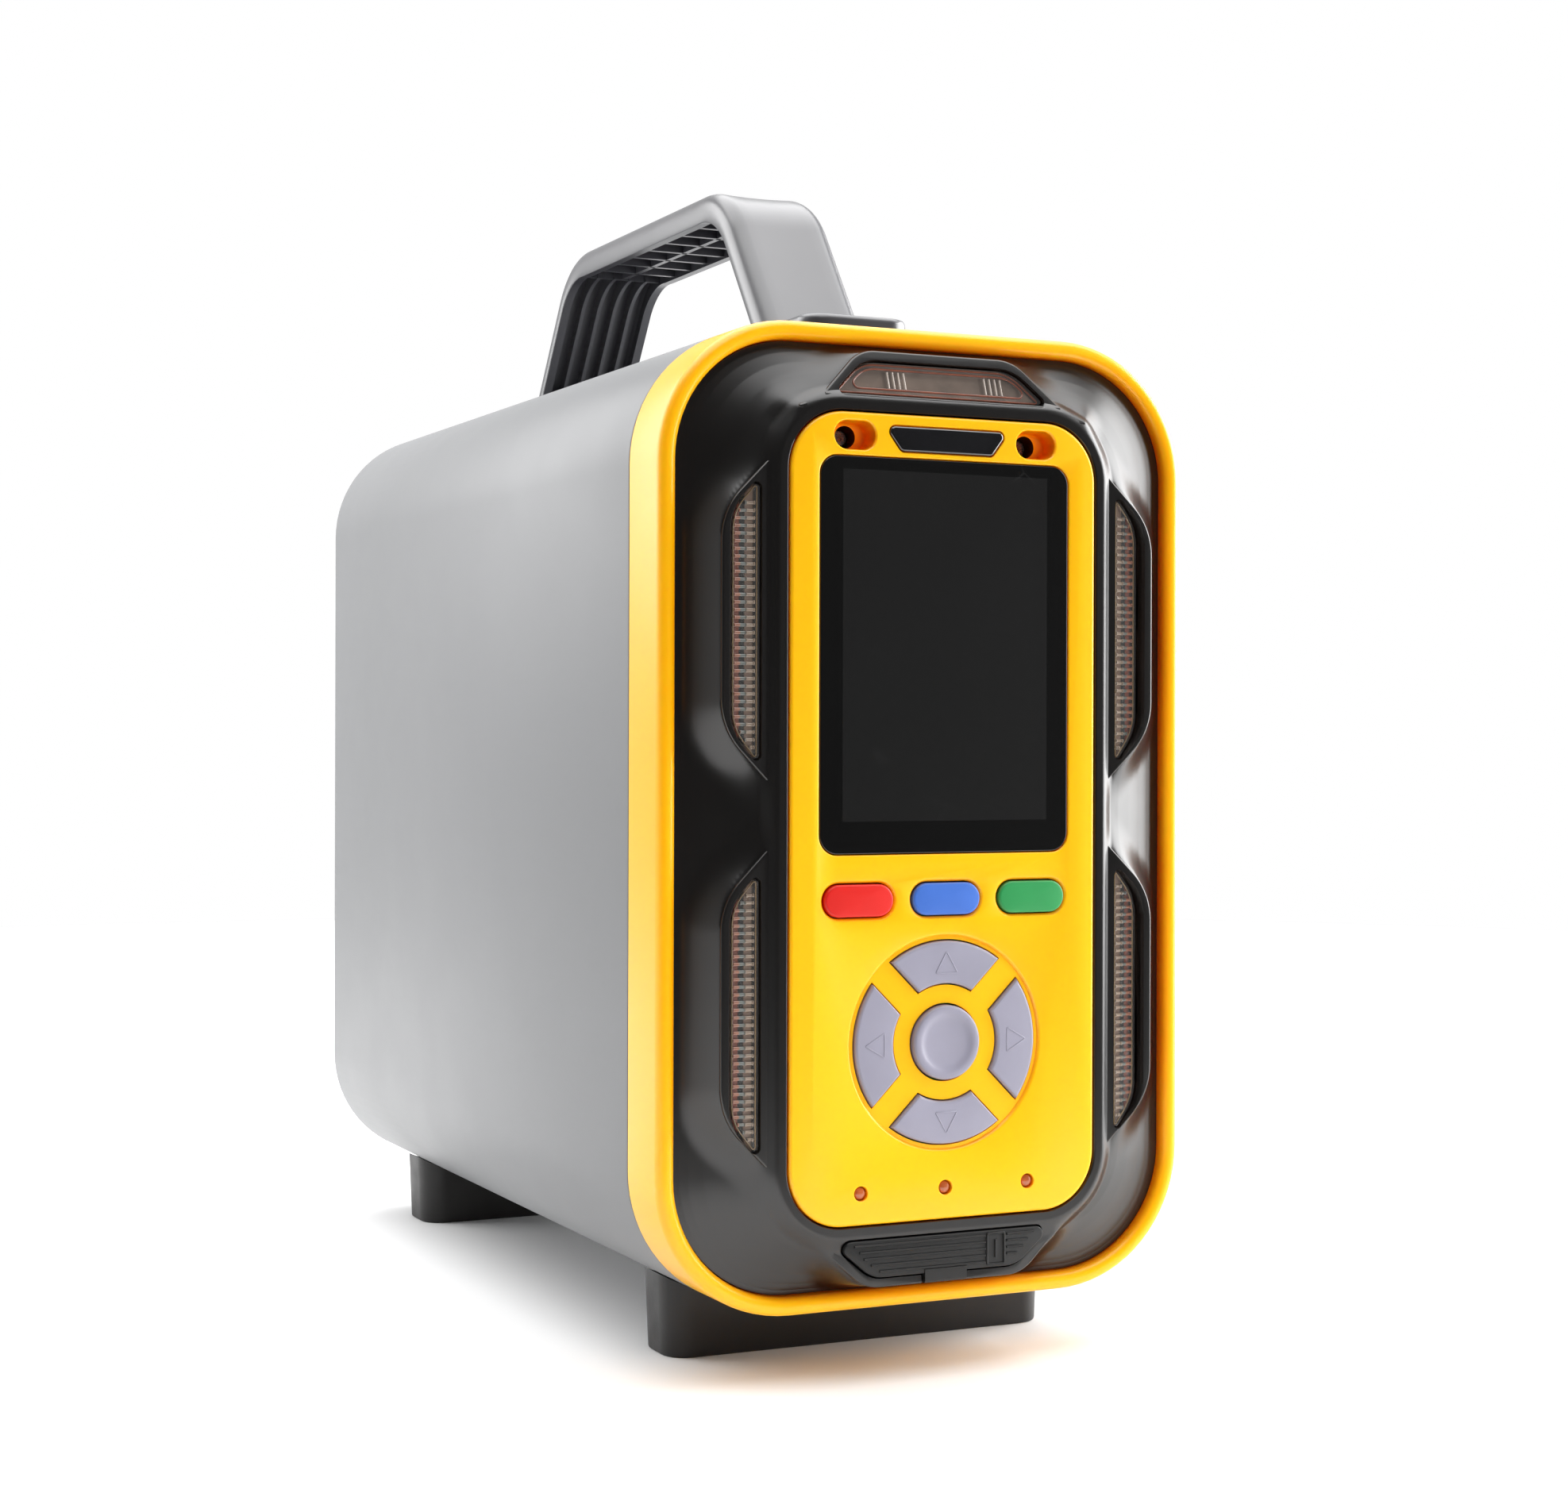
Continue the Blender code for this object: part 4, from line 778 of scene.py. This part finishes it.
def soft_key(x):
    """The round-ended outline of a colour key."""
    return (arc((x + SOFT_KEY_HALF - SOFT_KEY_RISE, SOFT_KEY_Z), SOFT_KEY_RISE, -90, 90, 14)
            + arc((x - SOFT_KEY_HALF + SOFT_KEY_RISE, SOFT_KEY_Z), SOFT_KEY_RISE, 90, 270, 14))


def disc(x, z, radius, steps):
    return arc((x, z), radius, 0, 360, steps)[:-1]


def opening(outline, floor, bevel, slope, grow=0.0):
    """A cutter with straight walls and a mouth in the fascia's face, bevelled this wide and slope deep."""
    loops = [[at(x, depth, z) for x, z in shrunk(outline, -grow - wider)] for depth, wider in
             ((floor, 0), (FASCIA_FACE + slope, 0), (FASCIA_FACE + slope * 0.25, bevel * 0.45),
              (FASCIA_FACE - 0.02, bevel), (IN_FRONT, bevel + 0.1))]
    return skin("opening", loops, yellow)


def build_fascia():
    through = 2  # the depth that openings right through the panel reach
    outline = rounded_box(*FASCIA, 28)
    fascia = plate("fascia_panel", outline, FASCIA_FACE, FASCIA_BACK, yellow, edge=0.9, steps=6)
    cutters = [opening(rounded_box(*WINDOW, 12), through, bevel=0.35, slope=0.35, grow=0.2)]
    cutters += [opening(soft_key(x), through, bevel=0.75, slope=0.7, grow=0.3)
                for x in (-SOFT_KEY_X, 0, SOFT_KEY_X)]
    cutters.append(opening(disc(0, PAD_Z, PAD_DISH, 96), PAD_DISH_FLOOR, bevel=0.7, slope=0.62))
    cutters += [opening(pad_sector(PAD_INNER, PAD_OUTER, PAD_BAR, turn), through, bevel=0.08, slope=0.55)
                for turn in (0, 90, 180, 270)]
    cutters.append(opening(disc(0, PAD_Z, ENTER_HOLE, 64), through, bevel=0.18, slope=0.6))
    cutters += [opening(disc(x, LAMP_Z, LAMP_HOLE, 28), through, bevel=0.2, slope=0.25)
                for x in (-LAMP_X, 0.0, LAMP_X)]
    badge = filleted(BADGE, BADGE_CORNER, 8)
    cutters.append(opening(badge, FASCIA_FACE + 0.9, bevel=0.2, slope=0.2, grow=0.15))
    cutters += [opening(well_outline(x), through, bevel=0.4, slope=0.5) for x in (-SCREW_X, SCREW_X)]
    carved(fascia, cutters, sharp=32)

    wells = []
    for x in (-SCREW_X, SCREW_X):
        wall, hole, end = well_outline(x), well_outline(x, 2.4), well_outline(x, 2.1)
        cup = ((wall, FASCIA_FACE + 0.5), (shrunk(wall, 0.1), -2.0), (shrunk(wall, 0.25), -1.45),
               (shrunk(wall, 0.5), WELL_FLOOR), (hole, WELL_FLOOR))
        # The bore is lined with painted shade.
        bore = ((hole, WELL_FLOOR), (hole, 2.6), (end, 2.9))
        for name, stages, colour in (("well", cup, yellow), ("hole", bore, hole_painted_shade)):
            loops = [[at(a, depth, b) for a, b in outline] for outline, depth in stages]
            wells.append(skin(f"{name}_{x}", loops, colour, sharp=60, capped=False))
    standing_in(merged("fascia_moulding", [fascia] + wells), "fascia")
    blank = plate("badge_blank", badge, FASCIA_FACE - 0.35, FASCIA_FACE + 0.5, badge_black, edge=0.8, steps=6)
    standing_in(blank, "badge_plate")


def crowned(name, outline, face, back, surface, edge, crown, rings=8):
    """A key: a rounded rim and a gently crowned face."""
    middle = np.mean(np.array(outline), 0)
    loops = [[at(x, back, z) for x, z in outline]]
    for k in range(6):
        angle = math.pi / 2 * k / 5
        rim = shrunk(outline, edge * (1 - math.cos(angle)) + 1e-4)
        loops.append([at(x, face + crown + edge * (1 - math.sin(angle)), z) for x, z in rim])
    rim = np.array(shrunk(outline, edge))
    for k in range(1, rings):
        share = k / rings
        points = rim + (middle - rim) * share
        lift = crown * (1 - (1 - share) ** 2)
        loops.append([at(x, face + crown - lift, z) for x, z in points])
    return skin(name, loops, surface, sharp=50)


def triangle(name, turn, size, depth):
    """A fine raised outline of a triangle on a direction key, pointing away from the middle key."""
    points = []
    for k in range(3):
        angle = math.radians(turn + 120 * k)
        points.append((size * math.cos(angle), size * math.sin(angle)))
    way = math.radians(turn)
    middle = (ARROW_RADIUS * math.cos(way), PAD_Z + ARROW_RADIUS * math.sin(way))
    path = []
    for i, (x, z) in enumerate(points):
        nx, nz = points[(i + 1) % 3]
        path += [at(middle[0] + x + (nx - x) * t, depth, middle[1] + z + (nz - z) * t)
                 for t in (0.03, 0.35, 0.65, 0.97)]
    return bead(name, path, 0.17, key_grey, closed=True)


def build_keys():
    for name, x, slot, colour in (("power", -SOFT_KEY_X, "key_red", key_red),
                                  ("pump", 0.0, "key_blue", key_blue),
                                  ("menu", SOFT_KEY_X, "key_green", key_green)):
        key = crowned(f"{name}_button", soft_key(x), FASCIA_FACE - 0.75, KEY_BACK, colour, 0.6, 0.35)
        standing_in(key, f"key_{name}", f"key_{name}")
    for name, turn in (("right", 0), ("up", 90), ("left", 180), ("down", 270)):
        outline = pad_sector(PAD_INNER + GAP, PAD_OUTER - GAP, PAD_BAR + GAP, turn)
        top = plate(f"{name}_face", outline, FASCIA_FACE - 0.25, KEY_BACK, key_grey, edge=0.75, steps=6)
        arrow = triangle(f"{name}_arrow", turn, 3.0, FASCIA_FACE - 0.22)
        standing_in(merged(f"{name}_button", [top, arrow]), f"key_{name}", f"key_{name}")
    face = FASCIA_FACE - 0.8
    profile = [(7.9, KEY_BACK), (7.9, face + 0.75), (7.82, face + 0.4), (7.6, face + 0.12), (7.3, face),
               (6.7, face), (6.3, face + 0.05), (5.9, face + 0.22), (5.4, face + 0.45), (4.6, face + 0.6),
               (3.0, face + 0.7), (1.2, face + 0.74), (0.1, face + 0.75)]
    enter = turned("enter_button", profile, at(0, 0, PAD_Z), key_grey, steps=72)
    standing_in(enter, "key_enter", "key_enter")
    for name, x in (("left", -LAMP_X), ("middle", 0.0), ("right", LAMP_X)):
        profile = [(1.3, -1.6), (1.3, -5.7), (1.2, -5.95), (0.9, -6.15), (0.5, -6.25), (0.1, -6.28)]
        lamp = turned(f"lamp_{name}", profile, at(x, 0, LAMP_Z), amber, steps=28)
        standing_in(lamp, f"status_lamp_{name}")
    window = rounded_box(*WINDOW, 12)
    cover = plate("cover_glass", window, FASCIA_FACE + 0.15, FASCIA_FACE + 1.7, glass, edge=0.25, steps=4)
    standing_in(cover, "display_glass")


# Flap


def build_flap():
    parts = [plate("flap_plate", filleted(FLAP, FLAP_CORNERS, 8), FLAP_FACE + 0.2, FLAP_BACK, seal, edge=0.3)]
    rise = FLAP_FACE + 0.12
    ridges = ((29.4, -21.6, 21.4), (28.0, -20.4, 20.0), (26.6, -19.4, 18.8), (25.2, -17.7, 17.3),
              (23.8, -15.7, 14.0))
    for index, (z, start, end) in enumerate(ridges):
        path = [at(x, rise, z) for x in (start, start + 0.2, 9.4, 9.6)]
        parts.append(bead(f"ridge_{index}", path, 0.26, seal))
        if end > 15:
            path = [at(x, rise, z) for x in (14.8, 15.0, end - 0.2, end)]
            parts.append(bead(f"short_{index}", path, 0.26, seal))
    border = filleted([(10.0, 23.2), (14.2, 23.2), (14.2, 29.8), (10.0, 29.8)], 0.4, 3)
    parts.append(bead("frame", [at(x, rise, z) for x, z in border], 0.26, seal, closed=True))
    parts.append(bead("bar", [at(12.1, rise + 0.05, z) for z in (24.6, 24.9, 28.1, 28.4)], 0.30, seal))
    back = (FLAP_BACK - FLAP_FACE) / 2
    strap = arc((0, FLAP_AXIS_Z), back, 180, 360, 12) + [(back, STRAP_TOP), (-back, STRAP_TOP)]
    loops = [[at(x, FLAP_FACE + back + y, z) for y, z in strap] for x in (-STRAP_HALF, STRAP_HALF)]
    parts.append(skin("strap", loops, seal))
    standing_in(merged("flap_moulding", parts), "port_flap", "port_flap")


# Handle and feet


def handle_stations():
    """(distance from the middle, height, inward direction, depth of section) along the front half."""
    foot = Vector(LEG_FOOT)
    corner = Vector((BAR_END + BEND_RADIUS * math.tan(math.radians(HALF_BEND)), HANDLE_TOP))
    leg = (corner - foot).normalized()
    inward = Vector((-leg.y, leg.x))
    if inward.x > 0:
        inward = -inward
    centre = Vector((BAR_END, HANDLE_TOP - BEND_RADIUS))
    start = math.degrees(math.atan2(-inward.y, -inward.x))
    spokes = [Vector((math.cos(a), math.sin(a))) for a in np.radians(np.linspace(start, 90, 19))]
    bend = [(centre + s * BEND_RADIUS, -s, 6.0 + 1.5 * k / 18) for k, s in enumerate(spokes)]
    straight = [(foot.lerp(bend[0][0], t), inward, 6.0) for t in (0, 0.34, 0.67)]
    return [(p.x, p.y, n, d) for p, n, d in straight + bend]


def grip_section(station):
    """The closed outline of the handle's channel at a station, open towards the hand."""
    flat, depth = GRIP_HALF - GRIP_EDGE, station[3]
    corner = [(flat + GRIP_EDGE * math.cos(a), GRIP_EDGE - GRIP_EDGE * math.sin(a))
              for a in np.radians(np.linspace(0, 90, 9))]
    dish = [(x, 0.28 * (1 - (x / flat) ** 2)) for x in np.linspace(flat, -flat, 9)[1:-1]]
    outside = [(GRIP_HALF - 0.15, depth), (GRIP_HALF, depth - 0.3)] + corner + dish
    outside += [(-x, n) for x, n in reversed(corner)]
    outside += [(-GRIP_HALF, depth - 0.3), (-GRIP_HALF + 0.15, depth)]
    inner, chamfer = GRIP_HALF - GRIP_WALL, GRIP_WALL + 0.8
    inside = [(-inner, depth), (-inner, chamfer), (-inner + 0.8, GRIP_WALL), (inner - 0.8, GRIP_WALL),
              (inner, chamfer), (inner, depth)]
    return [in_grip(station, x, n) for x, n in outside + inside]


def in_grip(station, x, n):
    """The point at a station, x across the handle and n into it from its outside."""
    along, height, inward, _ = station
    return at(x, HANDLE_MID + along + inward.x * n, height + inward.y * n)


def grip_ribs(stations):
    """The ribs along the legs, and the grid under the bar."""
    parts = []
    low, count = GRIP_WALL - 0.4, len(stations)
    for x in (-6.9, -2.3, 2.3, 6.9):
        loops = [[in_grip(s, x + 0.5, low), in_grip(s, x + 0.5, s[3] - 0.5), in_grip(s, x - 0.5, s[3] - 0.5),
                  in_grip(s, x - 0.5, low)] for s in stations]
        parts.append(skin(f"leg_rib_front_{x}", loops[:count // 2 - 3], grip))
        parts.append(skin(f"leg_rib_rear_{x}", loops[count // 2 + 3:], grip))

    def web(name, half, start, end):
        """A flat rib under the bar, from one depth to another."""
        corners = ((-half, HANDLE_TOP - 1.6), (half, HANDLE_TOP - 1.6), (half, HANDLE_TOP - 6.9),
                   (-half, HANDLE_TOP - 6.9))
        parts.append(skin(name, [[at(x, y, z) for x, z in corners] for y in (start, end)], grip))

    for k in range(-4, 5):
        y = HANDLE_MID + k * 11.0
        web(f"cross_{k}", 11.4, y - 0.7, y + 0.7)
    web("spine", 0.7, HANDLE_MID - 42, HANDLE_MID + 42)
    return parts


def handle_pad(end):
    """The foot pad under one end of the handle, with the well of its screw."""
    near, far = (end * reach for reach in HANDLE_PAD_SPAN)
    half = HANDLE_PAD_HALF
    outline = filleted([(near, -half), (far, -half), (far, half), (near, half)], 6.0, 10)
    loops = []
    for inset, z in ((0, CASE_HIGH + GAP), (0, 229.3), (0.15, 229.9), (0.5, 230.4), (1.1, 230.65),
                     (1.7, 230.7)):
        loops.append([at(x, HANDLE_MID + y, z) for y, x in shrunk(outline, inset)])
    pad = skin(f"pad_{end}", loops, grip, sharp=50)
    depth = HANDLE_MID + end * HANDLE_PAD_SCREW
    well = filleted([(-9.5, depth - 6), (9.5, depth - 6), (9.5, depth + 6), (-9.5, depth + 6)], 4.0, 8)
    cutters = [skin("well", [[at(x, y, z) for x, y in well] for z in (226.4, 240.0)], grip),
               turned("hole", [(2.9, 215.0), (2.9, 240.0)], at(0, depth, 0), grip, "Z", 24)]
    return carved(pad, cutters)


def build_handle():
    front = handle_stations()
    stations = [(-a, h, Vector((-n.x, n.y)), d) for a, h, n, d in front] + front[::-1]
    parts = [skin("channel", [grip_section(s) for s in stations], grip, sharp=40)]
    parts += grip_ribs(stations) + [handle_pad(-1), handle_pad(1)]
    standing_in(merged("handle_moulding", parts), "handle")


def build_feet():
    for name, (front, back) in FOOT_SPANS:
        corners = [(-FOOT_HALF, front), (FOOT_HALF, front), (FOOT_HALF, back), (-FOOT_HALF, back)]
        outline = filleted(corners, 7.0, 12)
        loops = []
        for inset, z in ((1.6, 0), (1.25, 0.25), (1.1, 0.6), (0, 26.0)):
            loops.append([at(x, y, z) for x, y in shrunk(outline, inset)])
        foot = skin(f"foot_block_{name}", loops, foot_black, sharp=45)
        section = rounded_box(*grown(*CASE, GAP), 20)
        cutters = [skin("case", [[at(x, y, z) for x, z in section] for y in (10, 250)], foot_black)]
        for x in (-FOOT_SCREW_X, FOOT_SCREW_X):
            for radius, top, steps in ((4.2, 6, 28), (1.9, 20, 20)):
                cutters.append(turned("bore", [(radius, -1), (radius, top)], at(x, (front + back) / 2, 0),
                                      foot_black, "Z", steps))
        standing_in(carved(foot, cutters), f"foot_{name}")


build_case()
build_bezel()
for lens_level, lens_corners in (("upper", UPPER_LENS), ("lower", LOWER_LENS)):
    build_side_lens(lens_level, "left", lens_corners, -1)
    build_side_lens(lens_level, "right", lens_corners, 1)
build_top_lens()
build_fascia()
build_keys()
build_flap()
build_handle()
build_feet()


# Floor, light and camera


def area_light(name, place, target, size, energy):
    """An area light of (width, height) at a place, facing a target. Everything is in metres and watts."""
    data = bpy.data.lights.new(name, "AREA")
    data.shape = "RECTANGLE"
    data.size, data.size_y = size
    data.energy = energy
    light = bpy.data.objects.new(name, data)
    light.location = place
    light.rotation_euler = (Vector(target) - Vector(place)).to_track_quat("-Z", "Y").to_euler()
    bpy.context.scene.collection.objects.link(light)
    return light


def build_floor():
    """A round white floor, cut straight in front of the object so that its edge stays out of the picture."""
    mesh = bpy.data.meshes.new("floor")
    rim = [(x, max(-0.30, y), 0) for x, y in disc(0.1, 0.15, 1.15, 72)]
    mesh.from_pydata(rim, [], [tuple(range(len(rim)))])
    white = finish("floor_white", (0.86, 0.86, 0.86), 0.6, vary=0.004, patch=2, grain=60, bump=0.01,
                   spread=0.02)
    mesh.materials.append(white)
    floor = bpy.data.objects.new("floor", mesh)
    bpy.context.scene.collection.objects.link(floor)


def build_light():
    """A white backdrop that lights the object from behind more than from the front, and four area lights."""
    world = bpy.data.worlds.new("studio")
    bpy.context.scene.world = world
    world.use_nodes = True
    tree = world.node_tree
    direction = added(tree, "SeparateXYZ", {"Vector": added(tree, "TexCoord").outputs["Generated"]})
    strength = ranged(tree, direction.outputs[1], -0.35, 0.35, 0.07, 0.8)
    seen = added(tree, "LightPath").outputs["Is Camera Ray"]
    background = tree.nodes["Background"]
    background.inputs["Color"].default_value = (1, 1, 1, 1)
    tree.links.new(maths(tree, "MAXIMUM", seen, strength), background.inputs["Strength"])

    area_light("top", (0.1, 0.05, 1.4), (0, 0, 0.15), (2.0, 2.0), 42)
    area_light("left", (-0.55, 0.5, 0.5), (0, 0, 0.14), (0.6, 0.6), 5.0)
    area_light("right", (1.3, -0.1, 0.35), (0, -0.12, 0.12), (1.4, 1.3), 48)
    fill = area_light("front", (0.35, -1.0, 0.05), (0, -0.1, 0.06), (0.8, 0.4), 6.5)
    fill.visible_glossy = False
    bpy.context.scene.view_settings.view_transform = "Standard"


def build_camera():
    ahead = Vector((math.sin(CAMERA_YAW), math.cos(CAMERA_YAW), 0))
    right = Vector((math.cos(CAMERA_YAW), -math.sin(CAMERA_YAW), 0))
    up = Vector((0, 0, 1))
    look = math.cos(CAMERA_PITCH) * ahead + math.sin(CAMERA_PITCH) * up
    crown = math.cos(CAMERA_PITCH) * up - math.sin(CAMERA_PITCH) * ahead
    across = math.cos(CAMERA_ROLL) * right + math.sin(CAMERA_ROLL) * crown
    over = math.cos(CAMERA_ROLL) * crown - math.sin(CAMERA_ROLL) * right
    place = Vector(CAMERA_PLACE) + Vector((0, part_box("front_ring")[0].y, 0))
    camera = bpy.data.objects.new("camera", bpy.data.cameras.new("camera"))
    bpy.context.scene.collection.objects.link(camera)
    camera.matrix_world = Matrix((*zip(across, over, -look, place), (0, 0, 0, 1)))
    camera.data.lens = CAMERA_LENS
    camera.data.clip_start = 0.01
    bpy.context.scene.camera = camera


build_floor()
build_light()
build_camera()
